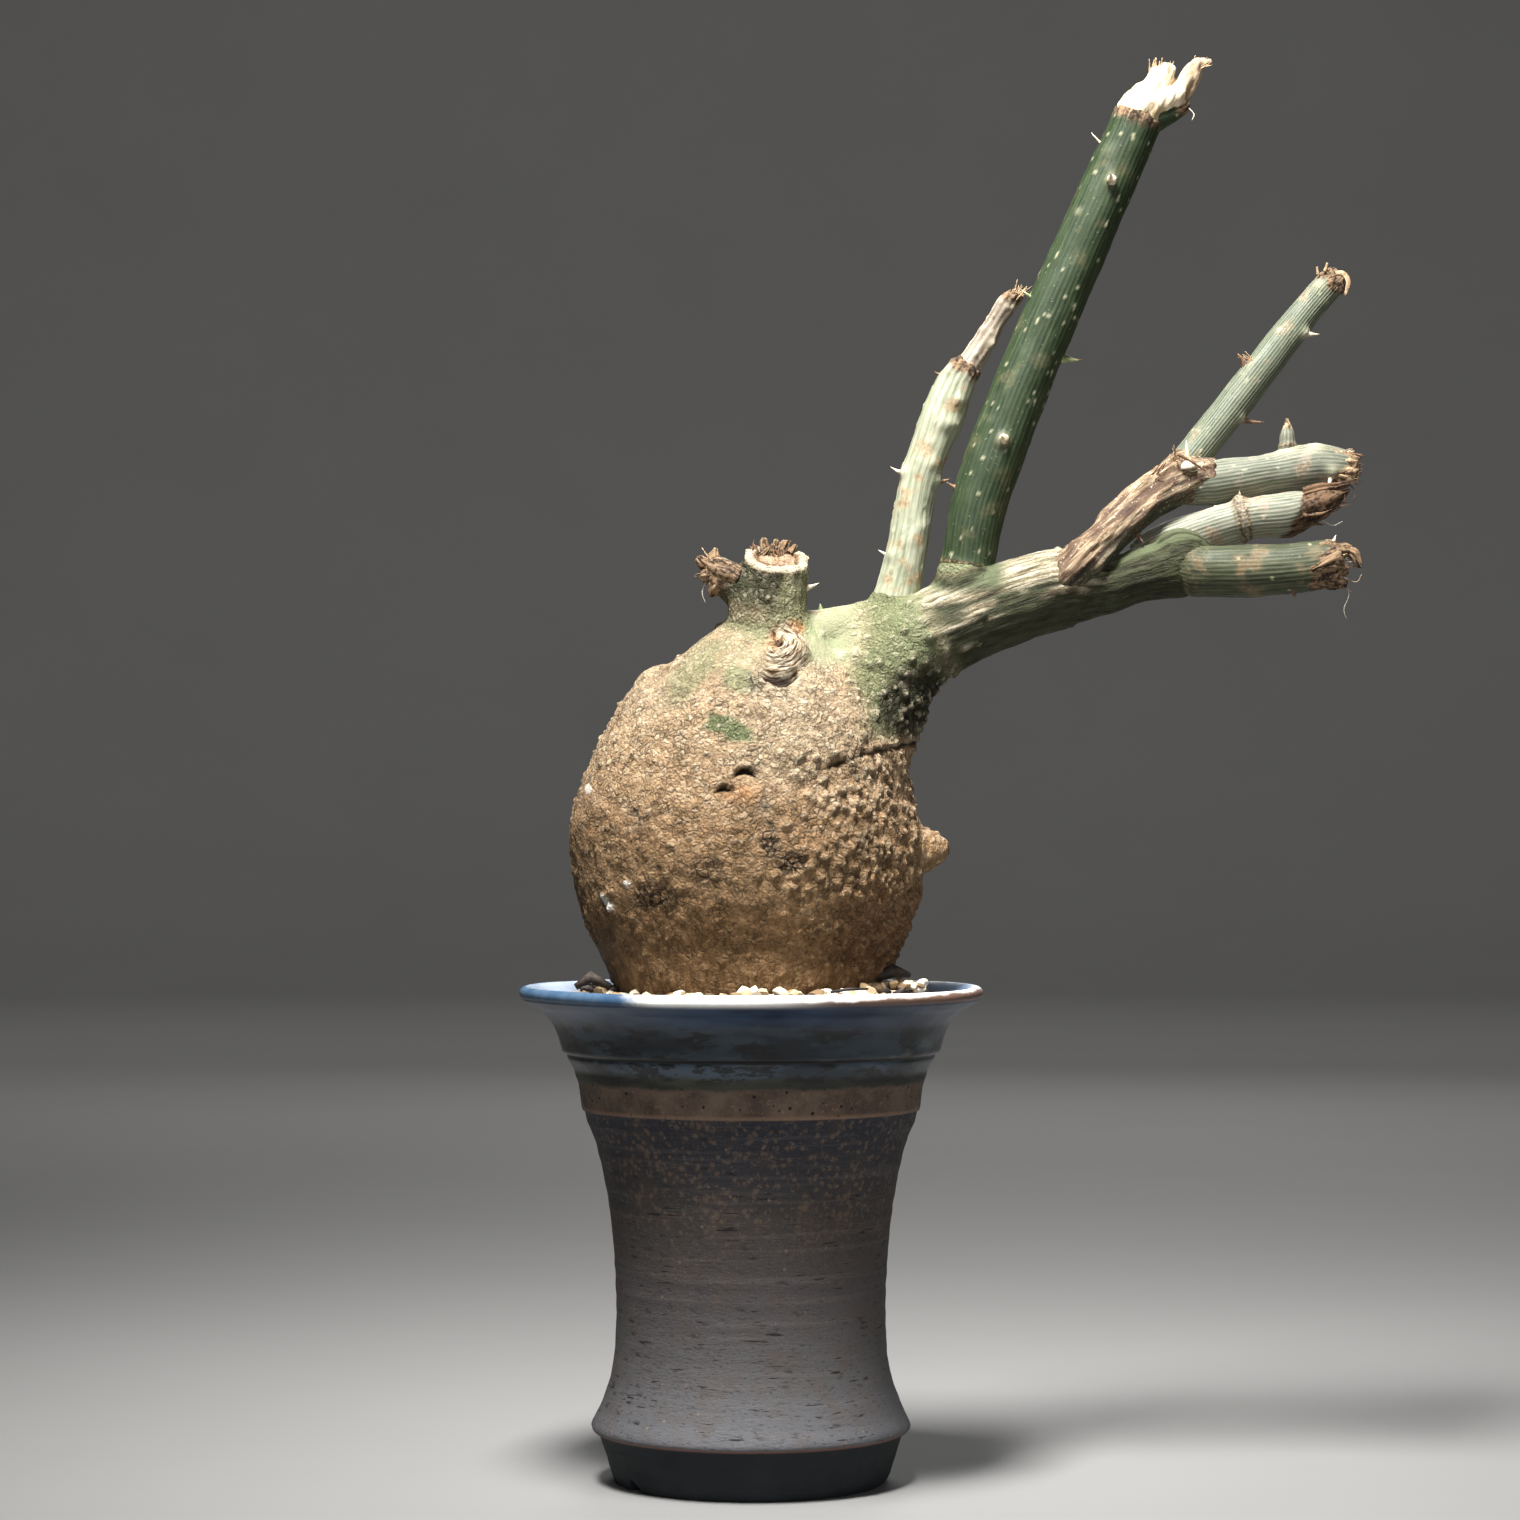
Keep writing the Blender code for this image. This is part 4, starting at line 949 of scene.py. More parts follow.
def makeCaudex():
    piece = makeCaudexForm()
    points = pointsOf(piece)
    normals = normalsOf(piece)
    x, y, z = points.T
    branch = followLine(points, caudex["mainBranch"])
    onBranch = ease(branch["along"], 34.0, 44.0) * ease(-branch["distance"], -16.0, -12.5)
    crown = followLine(points, caudex["crownStub"])
    onCrown = ease(crown["along"], 12.0, 20.0) * ease(-crown["distance"], -15.0, -12.0) * (x < 22.0)
    neck = ease(z + 0.35 * x, 212.0, 226.0)
    body = 1.0 - ease(z + 0.45 * np.maximum(x, 0), 205.0, 222.0)
    wander = roughLumps(points, 9.0, 3, 40) * 0.35

    def patches(name):
        return highest(*(share * frontPatch(points, wander, *oval) for share, *oval in caudex[name]))

    # lumpy growth, finer bark scales and the seams between them
    calm = ease(-z - 0.12 * x + 5.0 * wander, -143.0, -131.0)
    out = 0.5 * lumps(points, 17.0, 50) * body + 0.3 * roughLumps(points, 8.0, 2, 51) * body
    nudge = np.column_stack([lumps(points, 3.0, 60 + axis) for axis in range(3)])
    first, second, value = scatterCells(points + 0.6 * nudge, 2.9, 52)
    seam = ease(0.15 - (second - first), 0.0, 0.12)
    barkDepth = body * (0.35 + 0.65 * ease(roughLumps(points, 16.0, 2, 53), -0.3, 0.4)) * (1.0 - 0.7 * calm)
    out += barkDepth * (0.3 * (value - 0.5) - 0.26 * seam)
    fine = roughLumps(points, 1.9, 2, 54)
    out += 0.28 * fine * (0.35 + 0.65 * body) * (1.0 - 0.4 * calm)

    # warts, thickest on the right and on the neck
    picker = np.random.default_rng(caudex["seed"])
    weight = 0.22 + 2.0 * ease(x, 6.0, 22.0) * ease(-z, -200.0, -188.0) * ease(z, 126.0, 140.0)
    # the branch casts its shadow on the neck's lower right: this finds its upper edge and the shadowed side,
    # for the painted shadow below; more warts grow on that side
    branchShadowTop = np.interp(x, [20.0, 26.0, 40.0, 48.0, 64.0, 110.0], [190.0, 196.0, 213.0, 215.5, 220.0, 230.0])
    branchShadowSide = ease(branchShadowTop - z + 5.0 * wander, -2.0, 5.0) * ease(x + 4.0 * wander, 27.0, 36.0)
    weight = np.where((z > 188.0) & (x > 14.0) & (x < 56.0), 0.12 + 1.3 * branchShadowSide, weight)
    weight = np.where((z > 188.0) & (x > 26.0) & (x < 44.0) & (z < 207.0), 1.5, weight)
    weight = highest(weight, patches("warts"))
    weight = np.where((z < 126.0) | (x > 62.0) | (onCrown > 0.5), 0.04, weight)
    chosen = picker.choice(len(points), caudex["wartCount"], replace=False, p=weight / weight.sum())
    sizes = picker.uniform(0.8, 1.5, len(chosen)) * np.where(x[chosen] > 8.0, 1.15, 0.85)
    gap, nearest = nearestSpots(points, points[chosen])
    share = np.clip(gap / sizes[nearest], 0.0, 1.0)
    wart = (1.0 - share**2) ** 1.3
    out += wart * sizes[nearest] * 0.7
    tip = ease(-share, -0.55, -0.2)

    # the crease round the neck, the two hollow crescents, and the cracked places
    creaseGap = frontLineGap(points, caudex["crease"]) + 0.4 * lumps(points, 4.0, 61)
    crease = np.exp(-((creaseGap / 0.65) ** 2)) * ease(x, 12.0, 22.0)
    underCrease = np.exp(-(((creaseGap + 2.1) / 0.5) ** 2)) * ease(x, 24.0, 36.0) * (y < 6.0)
    crease = np.maximum(crease, 0.6 * underCrease)
    out -= 1.1 * crease
    hollows = np.zeros(len(points))
    for centreX, centreZ, width, height, bow in caudex["hollows"]:
        away = np.hypot((x - centreX) / width, (z - centreZ + bow * (x - centreX) ** 2) / height)
        hollows = highest(hollows, np.exp(-(away**4)) * (y < 0))
    out -= 2.1 * hollows
    below = np.exp(-(((x + 1.6) / 5.0) ** 2 + ((z - 177.8) / 2.0) ** 2)) * (y < 0)
    out += 0.5 * below
    cracks = np.zeros(len(points))
    for centreX, centreZ, width, height, share in caudex["cracked"]:
        patch = frontPatch(points, 1.6 * wander, (centreX, centreZ), (width, height), 0.5)
        cracks = np.maximum(cracks, patch * share)
    crackFirst, crackSecond, crackValue = scatterCells(points + 0.8 * nudge, 2.5, 71)
    crackSeam = ease(0.17 - (crackSecond - crackFirst), 0.0, 0.12)
    out += cracks * (0.4 * (crackValue - 0.5) - 0.75 * crackSeam)
    crackSeam = crackSeam * cracks
    flecks = np.zeros(len(points))
    for start, end, width in caudex["flecks"]:
        flecks = np.maximum(flecks,
                            ease(-frontLineGap(points, [start, end]) - 0.3 * wander, -width, 0.3 - width))
    out += 0.35 * flecks

    # side knob: smooth, with wrinkles round it
    knob = followLine(points, caudex["sideKnob"])
    onKnob = ease(knob["along"], 3.0, 7.0) * ease(-knob["distance"], -13.0, -9.0) * (x > 36.0) * (z < 178.0)
    out *= 1.0 - 0.8 * onKnob
    out += onKnob * (0.16 * np.sin(knob["along"] * 2.6 + 2.0 * lumps(points, 5.0, 73)) + 0.15 * fine)

    # neck: rounded folds across it, where it turns into the branch
    onNeck = ease(z + 0.12 * x, 200.0, 207.0) * ease(x, 22.0, 28.0) * ease(-x, -56.0, -48.0)
    folds = lumps(np.column_stack([x * 0.35 + z * 0.9, 0.4 * y, x * 0.2]), 2.6, 76)
    out += onNeck * 0.45 * folds

    # scar knob: torn wood round a hole, with a fold under it
    fromScar = points - np.array([6.0, -24.6, 216.8])
    scarAway = np.linalg.norm(fromScar * (1.0, 0.7, 1.15), axis=1) + 0.4 * lumps(points, 3.0, 74)
    scarTurn = np.arctan2(fromScar[:, 2], fromScar[:, 0])
    front = y < -12.0
    onScar = np.maximum(frontPatch(points, 0.8 * wander, (8.4, 214.8), (5.4, 6.2), 0.2) * front,
                        frontPatch(points, 0.8 * wander, (7.6, 207.6), (5.2, 2.6), 0.25) * front)
    tornWood = frontPatch(points, 1.2 * wander, (5.4, 216.6), (3.0, 2.6), 0.3, 35.0) * front
    out += onScar * (0.3 * np.cos(scarAway * 4.2 + 0.5) + 0.2 * fine) - 0.5 * tornWood
    hole = np.exp(-((np.hypot((x - 6.6) * 0.85, z - 217.4) / 1.5) ** 2)) * front
    out -= 2.2 * hole
    foldAway = np.hypot((x - 7.4) / 4.6, (z - 206.9 - 0.06 * (x - 7.6) ** 2) / 1.7)
    fold = np.exp(-(foldAway**4)) * front
    out -= 2.8 * fold

    # main branch: ribs and peeling strips along it
    strips = np.column_stack([branch["turn"] * 8.0, branch["along"] * 0.16, 0 * x])
    strip = roughLumps(strips, 1.6, 2, 80)
    ribs = np.sin(branch["turn"] * 26.0 + 1.4 * lumps(points, 12.0, 81))
    out += onBranch * (0.30 * strip + 0.10 * ribs + 0.22 * lumps(points, 6.0, 82))
    peel = ease(strip + 0.5 * lumps(points, 10.0, 83) + 1.1 * normals[:, 2], -0.1, 0.5) * onBranch
    peel *= ease(-x, -96.0, -84.0) * (1.0 - ease(z, 228.0, 232.0) * ease(-np.abs(x - 56.0), -12.0, -7.0))
    out += 0.22 * peel
    out += onCrown * (0.25 * roughLumps(points, 3.6, 2, 84) + 0.1 * np.sin(crown["turn"] * 22.0))

    # the cut face: a thick rim, a ring of wood and a sunken middle
    normal = unit(np.array(caudex["cutNormal"]))
    fromCut = points - np.array(caudex["cutMiddle"])
    height = fromCut @ normal
    across = np.linalg.norm(fromCut - height[:, None] * normal, axis=1)
    face = ease(height, -0.9, -0.3) * (across < 11.0)
    cutNoise = 0.5 * roughLumps(points, 2.4, 2, 85)
    rim = ease(across + cutNoise, 5.6, 6.4) * face
    pith = ease(-across - cutNoise, -5.0, -4.0) * face
    out += 0.4 * rim - 0.5 * ease(-across - cutNoise, -6.2, -5.6) * face + 0.35 * pith
    out += face * 0.3 * fine

    setPoints(piece, points + normals * out[:, None])

    sleek = ease(z + 0.05 * x, 209.0, 215.0) * ease(x, 12.0, 16.0) * (1.0 - branchShadowSide) * (1.0 - onBranch)
    sleek = highest(sleek, patches("sleek")) * (1.0 - onCrown)
    neckGreen = ease(x + 3.0 * wander, 24.0, 31.0) * (1.0 - onBranch)
    neckGreen *= ease(z + 0.4 * x + 4.0 * wander, 205.0, 214.0)
    sleek *= 1.0 - 0.75 * neckGreen
    ragged = 1.6 * wander + 0.3 * roughLumps(points, 2.4, 2, 95)
    deepGreen = frontPatch(points, ragged, (-6.4, 195.2), (8.0, 3.2), 0.1, -23.0)
    deepGreen = highest(deepGreen, 0.8 * neckGreen)
    underArm = ease(z - 0.1 * x, 186.0, 192.0) * ease(x + 10 * wander, 24.0, 33.0)
    leftSlope = ease(z + 0.5 * x, 214.0, 220.0) * (x < 6.0) * (1.0 - onCrown)
    mossy = neck * ease(lumps(points, 12.0, 90) + wander, -0.45, 0.15)
    green = highest(deepGreen, patches("green"), 0.9 * leftSlope, 0.42 * sleek, 0.95 * underArm, 0.85 * mossy)
    # on the branch the green share rises with the upward normal, painting its top lighter where light falls
    green = np.where(onBranch > 0.5, 0.5 + 0.45 * ease(normals[:, 2] + 0.4 * strip, 0.2, 0.8), green)
    green = highest(green, 0.95 * onCrown * ease(-x + 4.0 * wander, -9.6, -7.0))
    green *= 1.0 - 0.85 * onScar
    pale = highest(patches("pale"), onCrown * ease(x, 8.0, 11.0) * 0.9, sleek)
    orange = frontPatch(points, 0.5 * wander, (11.4, 221.0), (2.4, 1.7), 0.5)
    # painted shadow: the branch's shadow on the neck, kept off the branch itself; the crown stub's left side
    # is darkened the same way
    shade = branchShadowSide * ease(z - 0.1 * x, 186.0, 192.0) * (1.0 - onBranch)
    crownShade = onCrown * ease(-x + 4.0 * wander, -10.0, -5.0)
    # painted shade in the crease, the hollow crescents, the scar's hole and the fold under it, and in the
    # neck's fold valleys, with the cracks' own dark lines
    dark = np.clip(0.5 * crackSeam + hollows + 0.9 * hole + fold + 0.8 * crease, 0.0, 1.0)
    dark = np.maximum(dark, 0.45 * onNeck * ease(-folds, 0.25, 0.6))
    ruddy = ease(x, 14.0, 30.0) * ease(-z, -164.0, -144.0)
    setMask(piece, "barkOne", [green, pale, dark, np.where(face > 0.3, 0.0, tip)])
    setMask(piece, "barkTwo", [face, np.clip(rim, 0, 1), peel, np.clip(seam * barkDepth, 0, 1)])
    setMask(piece, "barkThree", [onBranch, pith, np.maximum(0.6 * below, orange), np.maximum(calm, onKnob)])
    setMask(piece, "barkFour", [cracks, flecks, np.maximum(shade, 0.93 * crownShade), onScar])
    setMask(piece, "barkFive", [sleek, ruddy, tornWood, deepGreen])
    setVector(piece, "scarArcs", np.column_stack([scarAway, scarTurn * 1.1, 0 * x]))
    setVector(piece, "straight", branch["straight"])
    return piece


def barkFinish():
    material = newFinish("wartyBark", 0.8, 0.14)
    where = millimetres()
    z = addNode("SeparateXYZ", {"Vector": where}).outputs[2]
    green, pale, dark, tip = masks("barkOne")
    face, rim, peel, seam = masks("barkTwo")
    branch, pith, orange, smooth = masks("barkThree")
    cracks, fleck, shade, scar = masks("barkFour")
    sleek, ruddy, tornWood, deepGreen = masks("barkFive")
    broad = grain(where, 16.0, 3.0)
    patch = grain(where, 5.0, 4.0, 0.65)
    fine = grain(where, 0.55, 3.0, 0.7)
    streaks = grain(millimetres((1.0, 1.0, 0.14)), 1.5, 4.0, 0.65)
    torn = bent(where, 1.5, 0.55)
    flakeEdge = spots(torn, 1.5, "DISTANCE_TO_EDGE")
    flakeTint = cellTint(torn, 1.5)
    crumb = spots(bent(where, 0.9, 0.3), 0.8)
    # the bark darkens towards the soil and lightens towards the top: partly its own tone, partly painted
    # light from above and painted shade low down
    height = timesPlus(broad, 20.0, z)
    colour = shades(between(height, 134.0, 226.0), (0.0, (94, 68, 43)), (0.14, (168, 130, 90)),
                    (0.26, (165, 132, 94)), (0.45, (153, 121, 86)), (0.7, (178, 147, 111)),
                    (1.0, (191, 164, 130)))
    colour = cover(colour, (92, 78, 48), between(patch, 0.5, 0.62), 0.35)
    colour = cover(colour, (104, 67, 41), ruddy, 0.5)
    colour = cover(colour, (174, 158, 130), pale, 0.7)
    colour = cover(colour, (122, 124, 99), sleek, 0.8)
    streakColour = mottle(streaks, 0.38, 0.62, (98, 74, 46), (152, 122, 86))
    colour = cover(colour, streakColour, smooth, 0.5)
    greenColour = mottle(patch, 0.35, 0.65, (104, 116, 80), (142, 149, 112))
    deepColour = mottle(fine, 0.5, 0.66, (72, 94, 58), (134, 146, 104))
    greenColour = cover(greenColour, deepColour, deepGreen)
    colour = cover(colour, greenColour, green, 0.85)
    # painted shadow: the branch's shadow on the neck, in near-black green, also laid on the crown stub's left
    # side
    shadowGreen = mottle(patch, 0.35, 0.65, (16, 17, 8), (38, 41, 20))
    colour = cover(colour, shadowGreen, shade, 0.93)

    # flakes: each has its own tint, and the gaps between them are dark
    rough = minus(1.0, times(smooth, 0.35))
    rough = times(rough, minus(1.0, times(green, 0.5)))
    rough = times(rough, minus(1.0, times(sleek, 0.8)))
    lightShare = times(between(flakeTint, 0.6, 0.95), times(rough, 0.32))
    # pale flakes, lighter higher up, partly as painted light
    lightColour = mottle(height, 146.0, 215.0, (186, 152, 112), (232, 216, 188))
    colour = cover(colour, lightColour, lightShare)
    darkShare = times(between(flakeTint, 0.42, 0.08), times(rough, 0.3))
    colour = cover(colour, (70, 49, 30), darkShare)
    gap = times(between(flakeEdge, 0.14, 0.03), between(patch, 0.38, 0.6))
    colour = cover(colour, (46, 30, 18), times(gap, times(rough, 0.6)))
    fineLight = times(between(fine, 0.58, 0.7), times(rough, 0.4))
    colour = cover(colour, lightColour, fineLight)
    fineDark = times(between(fine, 0.42, 0.3), times(rough, 0.35))
    colour = cover(colour, (58, 40, 24), fineDark)
    colour = cover(colour, (56, 38, 24), seam, 0.35)
    colour = cover(colour, (180, 116, 64), orange, 0.6)

    # cracked places: wider plates with torn cream edges and deep dark lines
    plates = spots(bent(where, 2.4, 0.9), 2.6, "DISTANCE_TO_EDGE")
    lines = times(between(plates, 0.12, 0.04), cracks)
    edges = times(between(plates, 0.26, 0.16), times(cracks, 0.45))
    colour = cover(colour, lightColour, edges)
    colour = cover(colour, (78, 54, 32), cracks, 0.3)
    colour = cover(colour, (32, 19, 11), lines, 0.9)
    # wart tips, paler higher up, partly as painted light
    tipColour = mottle(height, 150.0, 205.0, (178, 148, 110), (226, 212, 184))
    # wart tips dim in the painted shadow on the neck
    tipColour = cover(tipColour, (168, 156, 124), shade, 0.5)
    tipShare = times(tip, timesPlus(shade, 0.3, 0.58))
    colour = cover(colour, tipColour, tipShare)
    colour = cover(colour, (240, 232, 218), fleck)

    # scar: fine wrinkles in arcs round the hole, and torn brown wood beside it
    arcs = grain(carried("scarArcs"), 0.75, 3.0, 0.6, 0.6)
    scarColour = shades(arcs, (0.4, (68, 46, 29)), (0.47, (138, 118, 92)), (0.56, (184, 173, 150)))
    tornColour = mottle(arcs, 0.4, 0.56, (58, 36, 22), (172, 136, 100))
    scarColour = cover(scarColour, tornColour, tornWood)
    colour = cover(colour, scarColour, scar)
    # painted shade in those recesses, over the cracks' own dark lines; the hole is partly real brown torn
    # wood
    cracksAndRecessShade = times(between(dark, 0.1, 0.9), 0.96)
    colour = cover(colour, (34, 21, 12), cracksAndRecessShade)

    # branch: ribbed green under grey-white bark that peels in strips on its upper side; the green is darkest
    # below as painted shade and lighter on top as painted light
    along = carried("straight", (1.0, 1.0, 0.12))
    streak = grain(along, 1.2, 4.0, 0.65)
    branchGreen = mottle(streak, 0.35, 0.62, (22, 25, 15), (52, 57, 37))
    branchGreen = cover(branchGreen, (80, 86, 62), between(green, 0.65, 0.95))
    bark = shades(streak, (0.36, (66, 56, 40)), (0.46, (132, 121, 97)), (0.6, (184, 175, 152)))
    bark = cover(bark, (78, 66, 48), between(fine, 0.5, 0.36), 0.55)
    branchColour = blend(times(peel, 0.9), branchGreen, bark)
    colour = cover(colour, branchColour, branch, 0.95)

    # cut face
    wood = mottle(fine, 0.35, 0.65, (84, 54, 34), (140, 104, 72))
    pithColour = mottle(patch, 0.4, 0.6, (136, 108, 82), (178, 156, 128))
    wood = cover(wood, pithColour, pith)
    wood = cover(wood, (190, 178, 152), rim)
    colour = cover(colour, wood, face)
    feed("Base Color", colour)
    feed("Roughness", between(patch, 0.3, 0.7, 0.55, 0.8))

    plateRise = times(between(flakeEdge, 0.0, 0.3), timesPlus(flakeTint, 0.7, 0.3))
    rise = timesPlus(grain(where, 1.7, 5.0, 0.75), 1.3, times(plateRise, 0.6))
    rise = minus(rise, times(crumb, 0.4))
    rise = minus(rise, times(lines, 1.2))
    rise = cover(rise, streaks, smooth, 0.7)
    rise = cover(rise, (0.3, 0.3, 0.3, 1.0), sleek, 0.85)
    rise = cover(rise, arcs, scar)
    rise = cover(rise, streak, branch)
    relief((rise, 0.9, 1.35), (fine, 0.35, 0.9))
    return material


# The cut-back stems

# Each stem says where it differs from the base. A line has stations of x, y, z and radius. A boss has its
# middle, size and height, and a ring its place along the stem, width and height. A thorn has its foot, tip,
# radius and material, and a hair its points, radius and material. A tuft has its middle, the way it points,
# spread, length, count, width, curl, flare, seed and material.
stemBase = {
    "slot": "green_stem", "sides": 144, "spacing": 0.7, "ribs": 34, "ribDepth": 0.09, "lump": 0.34,
    "wartDensity": 0.12, "wartHeight": 0.25, "bosses": [], "rings": [], "end": 1.6, "torn": 0.0,
    "tornReach": 2.0, "tornTurn": 0.0, "blotch": 0.4, "bossTint": 0.5, "ringTint": 0.8, "thorns": [],
    "tufts": [], "hairs": [], "flaps": [], "tornEnds": [], "endDark": (40, 28, 20),
    "endLight": (132, 108, 82),
}
tallStem = stemBase | {
    "name": "tallStem", "node": "tall_stem", "sides": 132, "spacing": 0.9,
    "line": [(55.4, 0.0, 229.6, 6.6), (56.0, 0.0, 234.6, 7.0), (56.6, 0.0, 239.0, 6.9),
             (60.6, 0.0, 257.7, 7.6), (72.9, 0.8, 290.1, 7.3), (91.0, 1.6, 331.7, 6.9),
             (101.2, 2.0, 355.2, 6.5)],
    "ribDepth": 0.07, "lump": 0.22, "wartDensity": 0.26, "wartHeight": 0.24, "seed": 101,
    "bosses": [((93.4, -6.2, 337.4), 1.5, 1.5), ((65.2, -7.4, 269.6), 1.5, 1.6),
               ((94.0, -2.0, 345.0), 1.6, 0.8), ((78.4, 0.4, 292.4), 1.8, 0.9),
               ((61.8, -5.6, 282.0), 1.2, 0.7), ((84.6, -4.4, 329.6), 1.0, 0.6)],
    "rings": [(6.4, 0.5, -0.5), (7.8, 0.5, 0.5)], "end": 0.6, "dark": (24, 34, 19), "mid": (39, 52, 31),
    "light": (64, 76, 48), "scab": (139, 136, 104), "stripe": (54, 67, 41), "blotch": 0.0,
    "thorns": [((94.2, 1.2, 345.8), (88.8, 0.8, 350.8), 0.9, horn),
               ((78.6, 0.6, 292.6), (85.6, 0.6, 291.2), 1.9, greenHorn),
               ((82.4, 0.6, 291.8), (86.6, 0.6, 291.4), 0.5, brownHorn),
               ((75.4, 0.4, 306.4), (70.4, -2.4, 309.2), 1.2, greenHorn),
               ((53.9, -1.0, 257.6), (50.8, -2.0, 259.2), 0.9, brownHorn),
               ((93.4, -7.0, 337.6), (92.9, -8.9, 338.8), 0.8, horn),
               ((65.2, -8.6, 270.0), (64.7, -10.2, 270.6), 0.8, horn)],
    "hairs": [([(114.2, 1.0, 357.4), (115.6, 0.0, 355.4), (115.0, -0.6, 353.8)], 0.2, white)],
}
paleStem = stemBase | {
    "name": "paleStem", "node": "pale_stem", "slot": "pale_stem", "sides": 108, "spacing": 0.75,
    "line": [(36.4, 3.0, 222.4, 6.2), (37.2, 3.0, 226.4, 6.2), (38.6, 3.0, 232.6, 5.9),
             (41.0, 3.0, 244.0, 5.2), (44.1, 4.0, 260.1, 5.0), (48.4, 5.0, 272.0, 5.4),
             (52.6, 6.0, 283.4, 5.2), (56.2, 6.2, 290.4, 4.2)],
    "ribs": 18, "ribDepth": 0.05, "lump": 0.42, "wartDensity": 0.3, "wartHeight": 0.35, "seed": 121,
    "bosses": [((51.4, 0.8, 274.4), 2.0, 1.1), ((40.0, 2.0, 262.0), 1.5, 1.0), ((48.6, 2.6, 259.8), 1.4, 0.9),
               ((36.6, -0.6, 240.2), 1.5, 0.6), ((47.4, -0.2, 264.0), 1.6, 0.6),
               ((45.0, -1.0, 247.6), 1.5, 0.5), ((52.2, 2.6, 289.0), 1.6, 0.9),
               ((54.0, 1.4, 281.0), 1.4, 0.8)],
    "end": 0.9, "dark": (100, 106, 83), "mid": (143, 145, 122), "light": (181, 176, 156),
    "scab": (158, 132, 98), "stripe": (150, 153, 126), "blotch": 0.6, "bossTint": 0.1,
    "thorns": [((39.6, 3.4, 262.0), (36.4, 3.0, 263.6), 0.8, horn),
               ((48.8, 3.4, 259.8), (52.0, 2.8, 260.4), 0.9, brownHorn),
               ((36.6, 2.8, 240.2), (33.2, 2.2, 241.8), 0.8, horn),
               ((50.8, 5.6, 287.6), (47.9, 5.0, 288.8), 0.7, brownHorn)],
}
paleDryTip = stemBase | {
    "name": "paleDryTip", "node": "pale_stem_dry_tip", "slot": "grey_wood", "sides": 72, "spacing": 0.5,
    "line": [(54.6, 6.0, 287.2, 3.2), (56.2, 6.2, 289.6, 3.4), (58.4, 6.4, 292.8, 3.1),
             (62.4, 6.7, 299.2, 2.8), (66.5, 7.0, 305.5, 2.8), (69.6, 7.0, 309.2, 2.0)],
    "ribs": 9, "ribDepth": 0.22, "lump": 0.5, "wartDensity": 0.4, "wartHeight": 0.3, "seed": 131,
    "bosses": [((63.0, 4.4, 296.0), 1.2, 0.9), ((60.0, 4.6, 300.2), 1.0, 0.8)], "end": 1.2,
    "dark": (80, 66, 52), "mid": (130, 117, 101), "light": (170, 160, 144), "scab": (186, 176, 160),
    "stripe": (150, 140, 122), "blotch": 0.3, "bossTint": 0.3,
    "tufts": [((69.4, 6.8, 309.0), (0.55, -0.1, 0.8), 1.7, 3.6, 26, 0.24, 0.35, 0.5, 9, tan),
              ((69.0, 6.2, 308.6), (0.9, -0.3, 0.3), 1.4, 2.6, 12, 0.22, 0.4, 0.5, 19, brown)],
}
slimStem = stemBase | {
    "name": "slimStem", "node": "slim_stem", "spacing": 0.8,
    "line": [(110.6, 9.4, 260.6, 4.0), (113.4, 10.9, 263.9, 4.3), (118.4, 13.0, 269.7, 4.6),
             (131.8, 16.5, 286.4, 4.5), (145.6, 20.5, 304.1, 4.2), (154.8, 23.2, 314.8, 3.8)],
    "lump": 0.2, "wartDensity": 0.1, "wartHeight": 0.2, "seed": 141,
    "bosses": [((146.8, 17.6, 300.4), 1.5, 1.2), ((130.6, 13.6, 292.6), 1.7, 1.3),
               ((129.0, 13.0, 277.6), 1.4, 0.9), ((151.0, 19.6, 313.0), 1.6, 0.7)],
    "end": 0.9, "dark": (53, 62, 46), "mid": (83, 91, 71), "light": (116, 119, 99), "scab": (154, 146, 123),
    "stripe": (143, 143, 128), "blotch": 0.3,
    "thorns": [((129.0, 14.6, 277.4), (135.6, 14.0, 276.4), 1.0, brownHorn),
               ((146.6, 17.8, 300.4), (150.6, 16.8, 300.0), 1.1, horn),
               ((130.8, 15.4, 292.4), (128.6, 14.4, 294.6), 1.2, brownHorn)],
    "tufts": [((154.6, 23.0, 314.6), (0.6, -0.1, 0.75), 3.3, 2.0, 30, 0.4, 0.3, 0.5, 6, white),
              ((156.0, 22.6, 313.8), (0.9, -0.2, 0.1), 2.6, 2.2, 16, 0.3, 0.4, 0.5, 16, tan),
              ((131.0, 14.6, 293.2), (-0.8, -0.3, 0.5), 1.2, 2.2, 10, 0.2, 0.4, 0.6, 26, tan)],
    "hairs": [([(152.6, 20.4, 317.0), (153.2, 20.0, 319.4)], 0.6, tan),
              ([(150.8, 20.6, 316.2), (150.4, 20.2, 318.4)], 0.5, tan)],
    "flaps": [([(155.4, 20.2, 316.6), (157.2, 19.6, 316.6), (158.6, 19.0, 314.2), (157.6, 18.6, 310.4)], 0.7,
               tan)],
    "tornEnds": [[(153.4, 22.6, 313.4, 3.4), (154.6, 22.4, 315.4, 2.6), (154.2, 22.0, 318.0, 0.9)],
                 [(155.4, 22.2, 313.4, 2.6), (157.6, 21.6, 315.0, 1.8), (158.8, 21.2, 314.6, 0.8)]],
}
